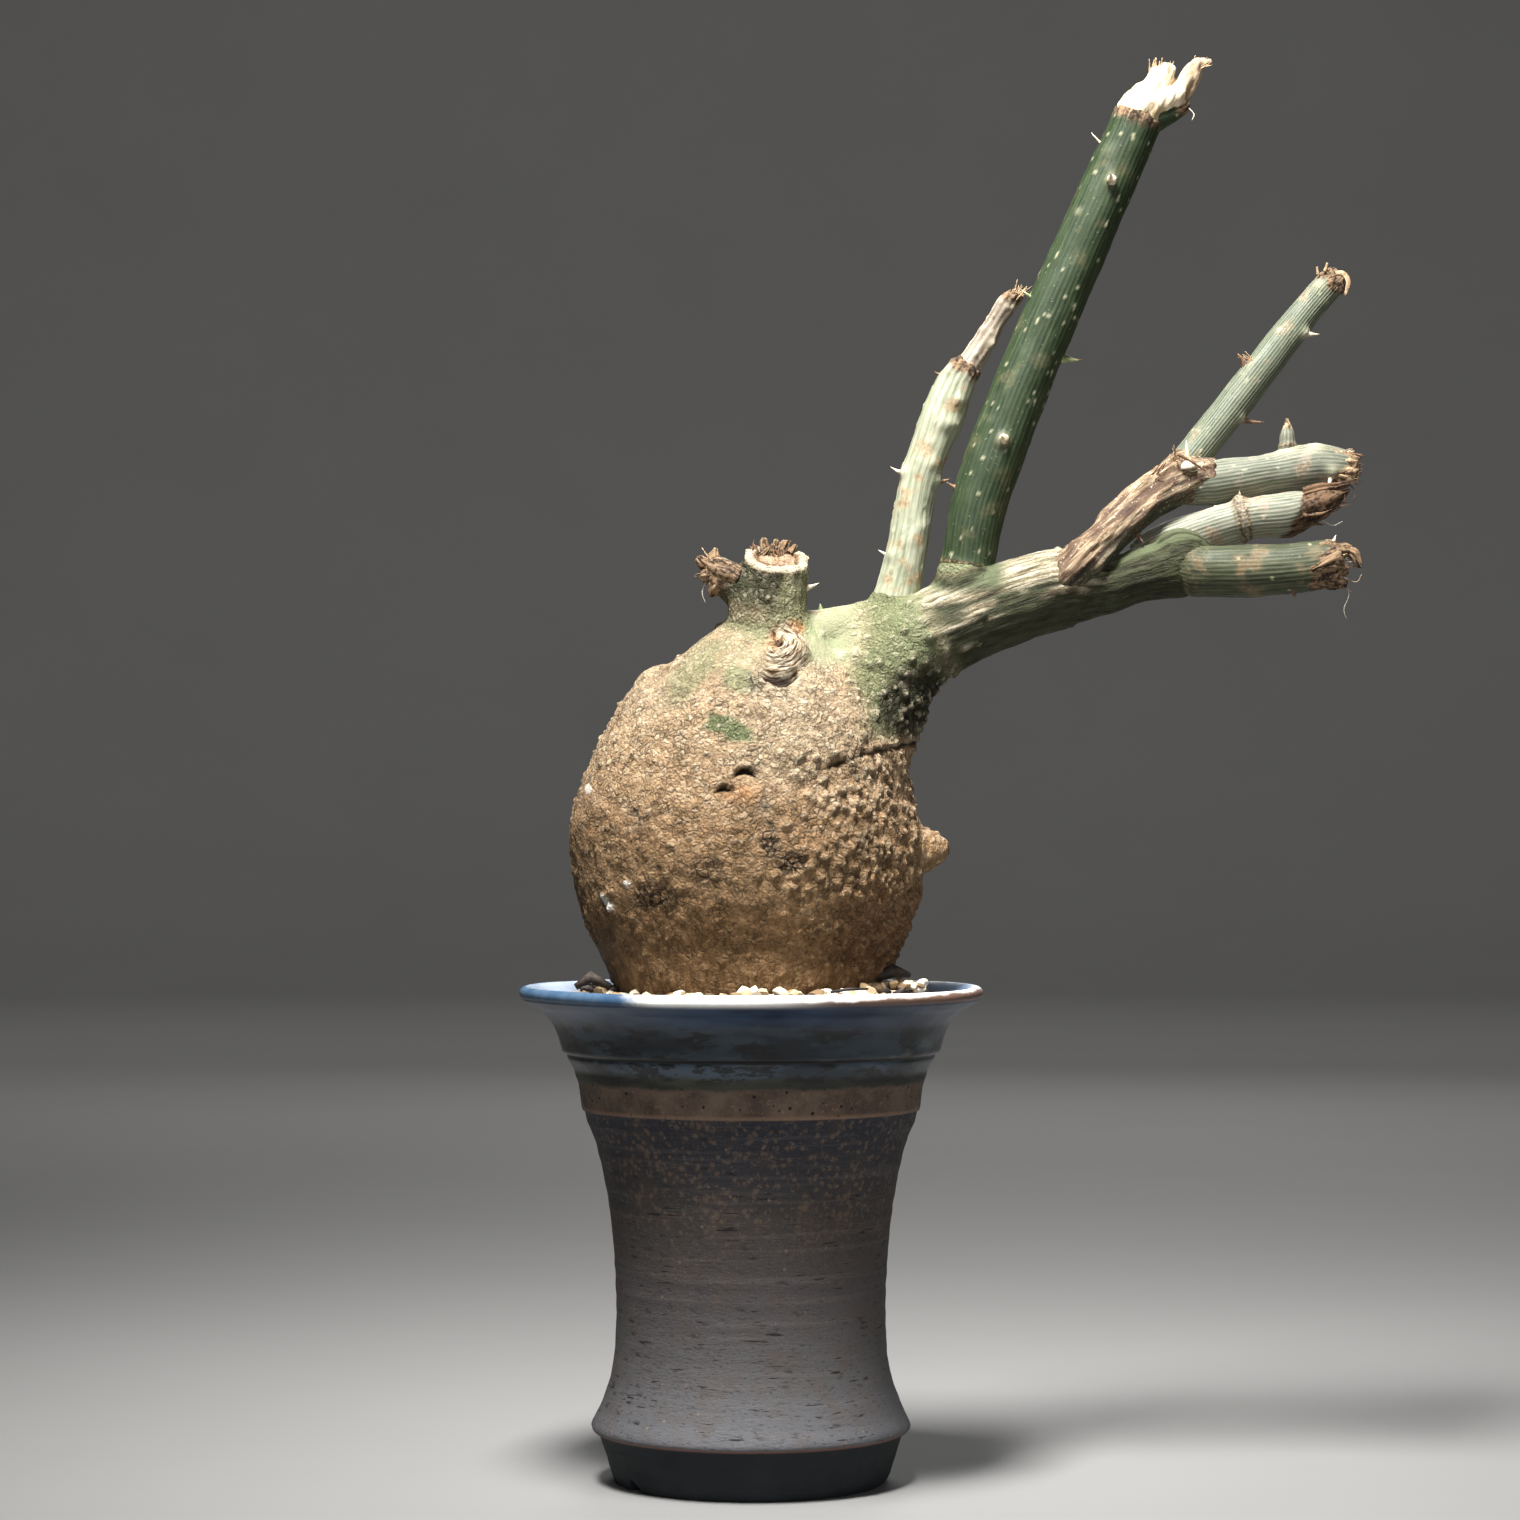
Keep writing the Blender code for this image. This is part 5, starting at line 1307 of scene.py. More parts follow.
upperStub = stemBase | {
    "name": "upperStub", "node": "upper_stub",
    "line": [(112.0, 6.6, 257.6, 3.8), (115.0, 6.8, 258.4, 4.9), (118.4, 7.0, 259.2, 5.5),
             (122.6, 7.4, 259.8, 5.7), (137.4, 8.0, 262.3, 5.3), (147.9, 8.0, 263.9, 5.9),
             (155.4, 8.0, 263.8, 4.8), (158.2, 8.0, 263.9, 3.6)],
    "ribDepth": 0.08, "seed": 151,
    "bosses": [((140.6, 7.4, 267.4), 3.0, 1.2), ((152.0, 3.6, 262.4), 1.8, 1.1),
               ((148.0, 5.0, 268.8), 2.2, 0.8)],
    "dark": (62, 70, 53), "mid": (98, 102, 84), "light": (138, 135, 119), "scab": (164, 145, 129),
    "stripe": (142, 137, 127), "endDark": (84, 60, 42), "endLight": (184, 158, 124),
    "thorns": [((152.0, 4.2, 262.0), (150.6, 1.8, 258.4), 1.2, horn),
               ((153.4, 6.4, 266.6), (157.2, 5.4, 268.2), 1.0, horn)],
    "tufts": [((157.4, 7.6, 263.8), (0.92, -0.3, -0.1), 3.9, 2.6, 44, 0.34, 0.3, 0.3, 5, brown),
              ((156.8, 7.4, 264.8), (0.9, -0.2, 0.2), 4.0, 2.6, 22, 0.4, 0.25, 0.3, 15, tan)],
    "hairs": [([(156.6, 5.4, 259.4), (158.2, 5.0, 257.2), (157.6, 4.8, 254.8)], 0.16, brown)],
    "tornReach": 10.0, "tornTurn": 2.2,
    "tornEnds": [[(150.6, 5.2, 261.6, 1.6), (154.6, 4.8, 261.2, 1.9), (158.2, 5.2, 260.6, 0.7)],
                 [(153.6, 6.2, 265.4, 3.0), (156.4, 6.4, 265.0, 2.6), (158.6, 6.8, 265.0, 1.2)],
                 [(153.0, 6.4, 263.0, 2.8), (157.0, 6.2, 262.6, 2.4), (159.4, 6.4, 263.2, 0.8)]],
}
middleFork = stemBase | {
    "name": "middleFork", "node": "middle_fork",
    "line": [(101.6, 3.6, 239.4, 4.4), (105.6, 4.2, 241.8, 5.3), (111.4, 4.4, 244.2, 5.6),
             (118.6, 3.8, 246.8, 5.5), (129.3, 2.0, 249.8, 5.4), (139.2, 2.0, 250.8, 5.7),
             (145.4, 2.0, 252.6, 4.5)],
    "seed": 161, "bosses": [((127.4, 0.2, 254.6), 1.5, 1.2)], "rings": [(28.4, 0.9, 0.9), (30.2, 0.6, 0.4)],
    "ringTint": 0.95, "dark": (72, 80, 61), "mid": (113, 116, 96), "light": (158, 153, 139),
    "scab": (166, 141, 123), "stripe": (165, 158, 148), "endDark": (32, 22, 16), "endLight": (104, 80, 58),
    "thorns": [((127.5, 0.4, 254.2), (127.1, -1.2, 257.0), 1.0, horn)],
    "tufts": [((145.0, 2.0, 252.5), (0.9, -0.1, 0.25), 4.4, 4.4, 80, 0.46, 0.4, 0.1, 3, brown),
              ((146.0, 1.0, 252.6), (0.86, -0.1, 0.36), 3.0, 8.6, 12, 0.5, 0.3, 0.2, 13, brown),
              ((146.6, 0.0, 251.6), (0.9, -0.4, -0.2), 2.4, 4.6, 5, 0.16, 0.6, 0.5, 23, white)],
    "tornReach": 8.0, "tornTurn": 2.0,
    "tornEnds": [[(142.6, 1.2, 251.8, 3.6), (146.2, 0.6, 253.0, 4.0), (150.8, 0.0, 254.8, 2.9),
                  (155.4, 0.0, 256.8, 0.9)],
                 [(144.0, -0.6, 256.2, 1.6), (149.0, -0.6, 257.4, 1.5), (154.2, -0.6, 258.4, 0.7)],
                 [(143.6, -1.4, 250.2, 2.2), (147.8, -1.8, 250.8, 1.7), (150.8, -1.8, 252.0, 0.7)]],
    "hairs": [([(149.0, 0.0, 251.0), (153.0, -0.6, 252.2), (154.6, -1.0, 255.8), (152.0, -1.2, 258.0)], 0.14,
               brown), ([(148.6, 0.0, 249.6), (151.4, -0.6, 248.0), (154.0, -1.0, 249.0)], 0.16, white)],
}
lowerFork = stemBase | {
    "name": "lowerFork", "node": "lower_fork", "sides": 152,
    "line": [(111.6, -3.6, 236.2, 4.2), (116.0, -5.0, 235.6, 6.3), (121.0, -5.6, 235.5, 6.7),
             (134.0, -6.6, 235.9, 6.6), (148.3, -8.0, 237.3, 6.1), (151.2, -8.0, 237.9, 5.3)],
    "ribs": 36, "wartDensity": 0.1, "seed": 171, "bosses": [((150.2, -8.0, 243.0), 1.4, 0.8)],
    "rings": [(3.2, 2.2, 0.8), (6.4, 0.5, -0.3)], "ringTint": 0.15, "dark": (31, 38, 22), "mid": (52, 58, 37),
    "light": (86, 88, 63), "scab": (135, 117, 91), "stripe": (83, 84, 63), "blotch": 0.3,
    "thorns": [((150.4, -8.0, 242.8), (151.2, -8.4, 245.0), 0.8, horn),
               ((140.2, -8.0, 230.4), (140.8, -8.6, 228.4), 0.8, brownHorn)],
    "tufts": [((150.6, -8.0, 237.9), (0.95, -0.2, 0.05), 5.0, 3.0, 90, 0.5, 0.45, 0.1, 4, brown),
              ((151.4, -9.0, 238.6), (0.94, -0.15, 0.15), 4.6, 3.6, 16, 0.4, 0.4, 0.2, 14, tan),
              ((152.0, -9.0, 236.0), (0.9, -0.3, -0.3), 3.4, 4.0, 6, 0.22, 0.5, 0.5, 24, white)],
    "tornReach": 7.0, "tornTurn": 1.6,
    "tornEnds": [[(147.0, -9.6, 239.8, 3.2), (151.0, -9.8, 240.4, 2.7), (154.0, -10.0, 240.8, 1.7),
                  (155.8, -10.0, 239.8, 0.7)],
                 [(147.0, -10.4, 236.2, 3.4), (151.2, -11.0, 236.4, 2.8), (153.8, -11.4, 236.0, 1.2)],
                 [(147.0, -10.0, 233.4, 2.5), (151.0, -10.6, 233.0, 2.1), (153.0, -10.6, 232.2, 0.8)],
                 [(152.6, -10.0, 241.2, 0.9), (155.6, -10.4, 239.8, 1.1), (157.0, -10.6, 236.4, 0.6)],
                 [(144.2, -14.0, 235.6, 0.8), (147.6, -13.8, 237.2, 1.7), (151.4, -13.0, 239.0, 1.8)]],
    "hairs": [([(152.6, -10.0, 233.8), (154.2, -10.6, 229.6), (152.8, -11.0, 225.6), (153.6, -11.2, 222.8)],
               0.14, white),
              ([(152.0, -10.0, 234.4), (156.0, -10.6, 232.6), (157.4, -11.0, 234.6)], 0.14, tan)],
}
tornShape = {
    "spacing": 0.45, "ribs": 7, "ribDepth": 0.42, "lump": 0.8, "wartDensity": 0.0, "bosses": [], "rings": [],
    "end": 0.8, "torn": 1.0,
}
crownWood = stemBase | {
    "name": "crownWood", "wartHeight": 0.0, "seed": 320, "blotch": 0.0, "dark": (60, 42, 28),
    "mid": (80, 60, 42), "light": (120, 96, 70), "scab": (150, 130, 100), "stripe": (80, 60, 42),
    "tornEnds": [[(-4.0, -5.4, 233.2, 4.4), (-8.0, -5.8, 235.2, 4.1), (-11.2, -6.0, 236.6, 3.0)],
                 [(-8.6, -5.8, 236.4, 1.9), (-9.4, -5.8, 239.2, 1.5), (-9.0, -5.8, 241.8, 0.6)],
                 [(-9.6, -6.4, 236.0, 1.8), (-12.0, -6.6, 237.8, 1.3), (-13.4, -6.6, 239.0, 0.5)],
                 [(-8.0, -6.8, 232.6, 1.9), (-9.6, -7.2, 230.8, 1.4), (-9.8, -7.2, 229.4, 0.6)],
                 [(-10.0, -7.2, 234.6, 1.5), (-12.4, -7.6, 234.4, 0.8)],
                 [(1.9, -3.4, 239.2, 1.5), (1.2, -3.8, 241.9, 0.7)],
                 [(3.8, -2.4, 240.4, 1.6), (3.2, -2.8, 243.6, 0.6)],
                 [(5.8, -1.6, 241.0, 1.5), (6.6, -2.0, 244.2, 0.7)],
                 [(8.4, -1.4, 241.4, 1.4), (9.4, -1.8, 243.8, 0.6)],
                 [(3.2, -5.2, 239.6, 1.3), (4.8, -5.6, 241.6, 0.6)],
                 [(10.6, -2.6, 240.6, 1.1), (11.6, -3.0, 242.6, 0.5)]],
}
budSpur = [(140.4, 8.0, 263.8, 3.6), (140.6, 8.0, 266.6, 2.9), (140.8, 8.0, 269.6, 2.2),
           (140.9, 8.0, 272.6, 1.9), (140.8, 8.0, 276.2, 0.5)]
tallSpur = [(101.0, 2.0, 352.4, 4.2), (103.0, 2.0, 353.4, 3.6), (109.0, 2.0, 355.8, 2.8),
            (114.0, 2.0, 358.0, 1.6)]


def makeStem(spec, name=None, line=None, sides=None):
    line = line or spec["line"]
    length = sum(math.dist(first[:3], second[:3]) for first, second in zip(line, line[1:]))
    piece, grid = sweptGrid(name or spec["name"], line, sides or spec["sides"],
                            int(length / spec["spacing"]) + 9, 8)
    plain, turn, along, seed = grid["plain"], grid["turn"], grid["along"], spec["seed"]
    ribs = np.cos(turn * spec["ribs"] + 0.9 * lumps(plain, 14.0, seed))
    ribFade = 0.6 + 0.4 * lumps(plain, 11.0, seed + 1)
    raised = spec["ribDepth"] * ribs * ribFade + spec["lump"] * roughLumps(plain, 8.0, 3, seed + 2)
    first, _, value = scatterCells(plain * (1, 1, 0.8), 2.6, seed + 5)
    wartSize = 0.18 + 0.2 * value
    warts = np.where(value < spec["wartDensity"] * 2.2, np.clip(1.0 - (first / wartSize) ** 2, 0.0, 1.0), 0.0)
    raised += spec["wartHeight"] * warts
    bossShare = np.zeros(len(plain))
    for middle, size, height in spec["bosses"]:
        away = np.linalg.norm(plain - np.array(middle), axis=1)
        bump = np.exp(-((away / size) ** 2))
        raised += height * bump
        bossShare = np.maximum(bossShare, bump)
    ringShare = np.zeros(len(plain))
    for at, width, height in spec["rings"]:
        ring = np.exp(-(((along - at + 0.5 * lumps(plain, 5.0, seed + 7)) / width) ** 2))
        raised += height * ring * (0.7 + 0.5 * lumps(plain, 3.0, seed + 8))
        ringShare = np.maximum(ringShare, ring)
    torn = roughLumps(plain, 1.8, 2, seed + 9)
    dome = np.sqrt(np.clip(1.0 - grid["inner"] ** 2, 0.0, 1.0))
    raggedAlong = along + 1.6 * lumps(plain, 2.4, seed + 10)
    tornFrom = length - 0.6 - spec["tornReach"] * (0.5 + 0.5 * np.cos(turn - spec["tornTurn"]))
    endShare = np.maximum(grid["cap"] * 1.0, ease(raggedAlong, tornFrom - 1.0, tornFrom + 0.4))
    endShare = np.maximum(endShare, spec["torn"])
    raised += 0.25 * torn * endShare
    shapeGrid(piece, grid, raised, 0.6 * dome + spec["end"] * torn)
    scab = ease(roughLumps(plain, 5.0, 3, seed + 12), 0.35, 0.75)
    setMask(piece, "stemOne", [endShare, scab, np.maximum(bossShare, 0.8 * (warts > 0.25)), 0.5 + 0.5 * ribs])
    setMask(piece, "stemTwo", [ringShare])
    setVector(piece, "straight", grid["straight"])
    mergeDoubles(piece, 0.004)
    return piece


def stemFinish(spec):
    material = newFinish(spec["name"] + "Skin", 0.6, 0.28)
    end, scab, boss, rib = masks("stemOne")
    ring = masks("stemTwo")[0]
    along = carried("straight", (1.0, 1.0, 0.07))
    square = carried("straight")
    streak = grain(along, 1.0, 4.0, 0.65)
    thin = grain(along, 0.45, 2.0, 0.6)
    patch = grain(square, 6.0, 4.0, 0.65)
    fine = grain(square, 0.9, 3.0, 0.7)
    colour = shades(streak, (0.28, spec["dark"]), (0.5, spec["mid"]), (0.72, spec["light"]))
    ribShare = times(between(rib, 0.35, 0.9), 0.4)
    colour = cover(colour, spec["stripe"], ribShare)
    grooveShare = times(between(rib, 0.35, 0.05), 0.4)
    colour = cover(colour, spec["dark"], grooveShare)
    thinShare = times(between(thin, 0.6, 0.72), 0.5)
    colour = cover(colour, spec["light"], thinShare)
    blotch = times(between(patch, 0.55, 0.68), spec["blotch"])
    colour = cover(colour, spec["scab"], blotch)
    speck = times(between(fine, 0.64, 0.72), 0.6)
    colour = cover(colour, spec["scab"], speck)
    scabColour = mottle(fine, 0.4, 0.6, (120, 92, 60), spec["scab"])
    colour = cover(colour, scabColour, times(scab, spec["blotch"] + 0.15))
    colour = cover(colour, (196, 190, 156), times(boss, spec["bossTint"]))
    ringColour = mottle(fine, 0.46, 0.66, (58, 38, 25), (164, 140, 106))
    colour = cover(colour, ringColour, times(ring, spec["ringTint"]))
    fibres = timesPlus(fine, 0.4, times(streak, 0.6))
    torn = mottle(fibres, 0.42, 0.58, spec["endDark"], spec["endLight"])
    colour = cover(colour, torn, end)
    feed("Base Color", colour)
    rough = between(patch, 0.3, 0.7, 0.5, 0.72)
    feed("Roughness", blend(end, rough, (0.9, 0.9, 0.9, 1.0)))
    relief((streak, 0.22, 0.6), (fine, 0.12, 0.5))
    return material


def makeTornEnds(spec):
    pieces = []
    for index, line in enumerate(spec["tornEnds"]):
        pieces.append(makeStem(dict(spec, **tornShape, seed=spec["seed"] + 30 + index), "torn", line, 42))
    return pieces


def finishStem(spec, others=()):
    stem = makeStem(spec)
    others = [*others, *makeTornEnds(spec)]
    dress([stem, *others], stemFinish(spec))
    joinPieces(stem, others)
    addSmallParts(stem, spec["thorns"], spec["tufts"], spec["hairs"], spec["flaps"])
    settle(stem, spec["node"])


swollenStem = makeCaudex()
dress(swollenStem, barkFinish())
crownPieces = makeTornEnds(crownWood)
dress(crownPieces, stemFinish(crownWood))
joinPieces(swollenStem, crownPieces)
addSmallParts(swollenStem,
              thorns=[((13.8, -5.6, 231.4), (17.6, -6.4, 232.6), 1.0, horn),
                      ((18.4, 0.0, 224.0), (18.0, -0.6, 227.6), 1.6, greenHorn),
                      ((23.4, 0.6, 224.2), (23.8, 0.2, 226.8), 1.5, greenHorn)],
              tufts=[((-10.4, -6.0, 236.4), (-0.7, -0.2, 0.68), 3.4, 2.6, 26, 0.34, 0.7, 0.5, 7, brown),
                     ((-9.0, -6.4, 238.0), (-0.2, -0.2, 0.9), 1.6, 4.0, 5, 0.3, 0.4, 0.3, 17, tan),
                     ((4.4, -2.8, 241.0), (0.0, 0.1, 0.95), 4.6, 2.0, 30, 0.36, 0.8, 0.5, 8, brown)],
              hairs=[([(-11.5, -6.5, 233.6), (-12.6, -7.2, 230.2), (-11.8, -7.4, 227.4)], 0.22, white)])
settle(swollenStem, "caudex")


finishStem(tallStem, [makeStem(dict(tallStem, spacing=0.6, bosses=[], rings=[]), "spur", tallSpur, 64)])
finishStem(paleStem)
finishStem(paleDryTip)
finishStem(slimStem)
budShape = dict(upperStub, spacing=0.5, bosses=[], rings=[(6.0, 0.5, 0.5)], ribs=12, tornReach=0.6)
finishStem(upperStub, [makeStem(budShape, "bud", budSpur, 56)])
finishStem(middleFork)
finishStem(lowerFork)


# Torn wood at the tall stem's tip, and the half dead branch

tornTip = {
    "base": [(100.4, 2.0, 352.8, 5.6), (101.1, 2.0, 354.9, 6.1), (102.3, 2.0, 357.7, 5.9),
             (105.2, 2.0, 362.0, 4.2)],
    "prongs": [[(104.6, 2.0, 359.0, 4.2), (106.4, 2.0, 363.6, 3.9), (108.0, 2.0, 368.2, 3.2)],
               [(106.8, 2.0, 360.4, 3.4), (112.0, 2.0, 361.4, 2.9), (114.6, 2.0, 365.4, 2.7),
                (116.4, 2.0, 368.6, 1.8), (120.2, 2.0, 369.6, 0.6)],
               [(103.0, 0.4, 357.0, 3.6), (108.6, 0.6, 359.4, 3.0), (113.0, 1.0, 360.4, 2.4)]],
    "voxel": 0.42, "seed": 200,
}
dryBranch = {
    "line": [(80.4, -4.8, 232.6, 4.2), (84.0, -7.0, 236.2, 5.3), (88.6, -5.6, 240.8, 5.2),
             (101.0, 1.2, 252.4, 5.2), (108.0, 4.6, 257.4, 5.6), (112.4, 5.8, 259.8, 5.8),
             (116.4, 6.0, 261.2, 5.4), (120.6, 5.6, 262.2, 4.4)],
    "collar": [(108.5, 6.0, 258.5, 5.2), (111.6, 9.2, 261.8, 5.2), (115.4, 12.0, 266.2, 4.6)], "voxel": 0.5,
    "seed": 210,
}


def makeTornTip():
    piece = melt("tornTip", [sweptForm(line) for line in [tornTip["base"], *tornTip["prongs"]]],
                 tornTip["voxel"], 3)
    points = pointsOf(piece)
    normals = normalsOf(piece)
    x, y, z = points.T
    fibres = roughLumps(np.column_stack([x - 0.35 * z, y, z * 0.22]), 1.5, 3, tornTip["seed"])
    steps = lumps(points, 4.0, tornTip["seed"] + 4)
    out = 0.42 * fibres + 0.35 * steps
    setPoints(piece, points + normals * out[:, None])

    # the top of the left prong was cut almost flat
    points = pointsOf(piece)
    top = 368.9 + 0.35 * roughLumps(points * (1, 1, 0), 2.0, 2, 205) - 0.35 * (108.0 - points[:, 0])
    points[:, 2] = np.where((points[:, 0] < 111.6), np.minimum(points[:, 2], top), points[:, 2])
    setPoints(piece, points)
    setMask(piece, "tornOne", [0.5 + 0.5 * fibres, ease(x, 110.0, 114.5), ease(-z, -357.5, -354.5)])
    setVector(piece, "straight", np.column_stack([x - 0.35 * z, y, z * 0.2]))
    return piece


def tornFinish():
    material = newFinish("tornWood", 0.85)
    fibre, right, foot = masks("tornOne")[:3]
    along = carried("straight")
    streak = grain(along, 0.8, 4.0, 0.65)
    fine = grain(millimetres(), 0.7, 3.0, 0.7)
    colour = mottle(streak, 0.3, 0.65, (196, 168, 126), (236, 222, 192))
    colour = cover(colour, (136, 98, 60), between(fibre, 0.42, 0.25), 0.5)
    brownShare = times(right, between(streak, 0.38, 0.55))
    colour = cover(colour, (112, 74, 46), brownShare, 0.75)
    colour = cover(colour, (176, 156, 106), foot, 0.5)
    feed("Base Color", colour)
    relief((streak, 0.3, 0.7), (fine, 0.12, 0.5))
    return material


tornWood = makeTornTip()
dress(tornWood, tornFinish())
addSmallParts(tornWood, tufts=[
    ((116.6, 2.0, 368.2), (0.7, -0.1, 0.6), 1.6, 4.0, 14, 0.36, 0.3, 0.3, 31, tan),
    ((107.0, 1.4, 368.0), (0.2, -0.1, 0.95), 2.8, 2.0, 16, 0.34, 0.25, 0.3, 32, tan)])
settle(tornWood, "tall_stem_torn_tip")


def makeDryBranch():
    piece = melt("dryBranch", [sweptForm(dryBranch["line"]), sweptForm(dryBranch["collar"])],
                 dryBranch["voxel"], 4)
    points = pointsOf(piece)
    normals = normalsOf(piece)
    x = points[:, 0]
    line = followLine(points, dryBranch["line"])
    seed = dryBranch["seed"]
    strips = roughLumps(np.column_stack([line["turn"] * 5.4, line["along"] * 0.16, 0 * x]), 1.7, 3, seed)
    # the upper side, by the upward normal, gets tan dead bark; the underside stays dark green, partly painted
    # shade
    upper = ease(np.cos(line["turn"]) * 0.3 + normals[:, 2] + 0.3 * strips, -0.1, 0.5)
    out = 0.55 * strips * (0.4 + 0.8 * upper) + 0.3 * lumps(points, 5.0, seed + 5)
    out += 0.5 * upper * ease(strips, 0.0, 0.5)
    fromFoot, fromRing = line["along"] - 3.6, line["along"] - 9.0
    callus = np.exp(-((fromFoot / 2.2) ** 2)) + 0.7 * np.exp(-((fromRing / 1.2) ** 2))
    out += callus * (0.6 + 0.5 * roughLumps(points, 3.0, 2, seed + 8))
    knuckle = ease(x, 110.0, 116.0)
    out += knuckle * 0.5 * roughLumps(points, 4.0, 3, seed + 9)
    setPoints(piece, points + normals * out[:, None])
    setMask(piece, "dryOne", [np.clip(upper + 0.6 * knuckle + 0.35 * callus, 0, 1), 0.5 + 0.5 * strips])
    setVector(piece, "straight", line["straight"])
    return piece


def dryFinish():
    material = newFinish("dryBark", 0.85)
    upper, strip = masks("dryOne")[:2]
    streak = grain(carried("straight", (1.0, 1.0, 0.12)), 1.1, 4.0, 0.7)
    fine = grain(millimetres(), 0.8, 3.0, 0.7)
    # dark green underside, partly painted shade, under tan dead bark on the upper side
    green = mottle(streak, 0.35, 0.65, (28, 30, 20), (66, 65, 46))
    bark = shades(streak, (0.34, (41, 27, 16)), (0.46, (88, 65, 44)), (0.57, (134, 114, 88)),
                  (0.7, (183, 169, 143)))
    colour = blend(upper, green, bark)
    colour = cover(colour, (66, 44, 30), between(strip, 0.36, 0.2), 0.7)
    colour = cover(colour, (226, 214, 188), between(fine, 0.6, 0.7), 0.5)
    feed("Base Color", colour)
    relief((streak, 0.4, 0.7), (fine, 0.16, 0.5))
    return material


dryWood = makeDryBranch()
dress(dryWood, dryFinish())
addSmallParts(dryWood,
              thorns=[((99.8, -1.4, 246.8), (101.8, -4.8, 243.2), 1.1, brownHorn),
                      ((114.0, 1.4, 264.0), (113.5, 0.8, 270.4), 1.3, horn)],
              tufts=[((113.0, 3.2, 265.0), (0.1, -0.6, 0.7), 3.0, 3.4, 18, 0.26, 0.5, 0.5, 41, tan),
                     ((108.0, 2.0, 260.6), (0.5, -0.5, 0.5), 3.4, 3.6, 20, 0.3, 0.3, 0.3, 42, brown)],
              hairs=[([(112.0, 1.6, 263.0), (115.6, 0.6, 262.2), (118.2, 0.2, 264.4), (116.6, 0.0, 266.2)],
                      0.16, white),
                     ([(111.4, 0.6, 266.6), (115.0, 0.0, 264.6), (118.4, -0.2, 262.2)], 0.4, brown)])
settle(dryWood, "dry_branch")


# Soil, its dressing and the drain net

dressing = {
    "rings": [(37.4, 125.9, 66), (40.6, 125.7, 72), (43.8, 125.0, 78), (46.6, 124.4, 70)],
    "ringWander": 1.2, "ringSize": (1.3, 2.9), "ringDetail": 2, "detail": 3, "brokenFaces": 6,
    "frontStones": 26, "frontTurn": (-34.0, 48.0), "reach": (38.0, 47.0), "frontHeight": 127.2,
    "frontSize": (1.5, 2.5),
    "moundStones": 26, "moundMiddle": (35.6, -17.0, 128.6), "moundRadius": 5.6, "moundRise": 1.6,
    "moundSize": (1.2, 2.2),
    "bedRadius": 41.0, "bedThickness": 4.6, "bedHeight": 122.6, "bedWide": 1.5, "bedFlat": 0.7,
    "shards": [(-128.0, -62.0, 8), (52.0, 78.0, 8), (110.0, 250.0, 12)], "shardHeight": 127.0,
    "shardLength": (2.4, 5.6), "shardWidth": (0.5, 1.1), "shardSeed": 77,
    "twigs": [([(32, -15, 131), (36.6, -14, 132.6), (41, -13, 131.4)], (1.2, 1.9, 0.6), 5, 0.4),
              ([(-45, -13, 128.4), (-41, -14, 130.8), (-36, -15, 128.6)], (0.9, 1.9, 0.8), 5, 0.4),
              ([(20, -41.2, 128.2), (24, -40.4, 128.9), (29.4, -39.2, 129)], (0.35, 0.45, 0.3), 6, 1.0)],
    "seed": 11,
}


# A place round the pot's axis, with the angle from the front
def around(angle, reach, height):
    return reach * math.sin(angle), -reach * math.cos(angle), height


def makeStones():
    draw = random.Random(dressing["seed"])
    stones = []

    def addStone(centre, size, level):
        bpy.ops.object.select_all(action="DESELECT")
        bpy.ops.mesh.primitive_ico_sphere_add(subdivisions=level, radius=mm)
        stone = bpy.context.object
        points = np.empty(len(stone.data.vertices) * 3)
        stone.data.vertices.foreach_get("co", points)
        points = points.reshape(-1, 3) / mm
        points = points * (1.0 + 0.34 * lumps(points + draw.uniform(0, 50), 0.9, 3)[:, None])
        for _ in range(dressing["brokenFaces"]):
            way = np.array([draw.gauss(0, 1) for _ in range(3)])
            way /= np.linalg.norm(way)
            points = points - np.maximum(points @ way - draw.uniform(0.5, 0.8), 0.0)[:, None] * way
        stretch = np.array([draw.uniform(0.8, 1.25), draw.uniform(0.75, 1.1), draw.uniform(0.6, 0.95)])
        turn = draw.uniform(0, math.tau)
        spin = np.array([[math.cos(turn), -math.sin(turn), 0], [math.sin(turn), math.cos(turn), 0],
                         [0, 0, 1]])
        setPoints(stone, (points * stretch * size) @ spin.T + np.array(centre))
        setMask(stone, "stone", [draw.random(), draw.random(), 0.0])
        stones.append(stone)

    for radius, height, count in dressing["rings"]:
        for index in range(count):
            angle = math.tau * (index + draw.uniform(-0.3, 0.3)) / count
            reach = radius + draw.uniform(-dressing["ringWander"], dressing["ringWander"])
            centre = around(angle, reach, height + draw.uniform(-0.6, 0.9))
            addStone(centre, draw.uniform(*dressing["ringSize"]), dressing["ringDetail"])
    for _ in range(dressing["frontStones"]):
        angle = math.radians(draw.uniform(*dressing["frontTurn"]))
        reach = draw.uniform(*dressing["reach"])
        centre = around(angle, reach, dressing["frontHeight"] + draw.uniform(-0.4, 0.9))
        addStone(centre, draw.uniform(*dressing["frontSize"]), dressing["detail"])
    middleX, middleY, middleZ = dressing["moundMiddle"]
    for _ in range(dressing["moundStones"]):
        angle = draw.uniform(0, math.tau)
        inward = math.sqrt(draw.random())
        reach = dressing["moundRadius"] * inward
        height = middleZ + dressing["moundRise"] * (1.0 - inward) + draw.uniform(-0.8, 0.3)
        centre = (middleX + 1.5 * reach * math.cos(angle), middleY + reach * math.sin(angle), height)
        addStone(centre, draw.uniform(*dressing["moundSize"]), dressing["detail"])
    return stones


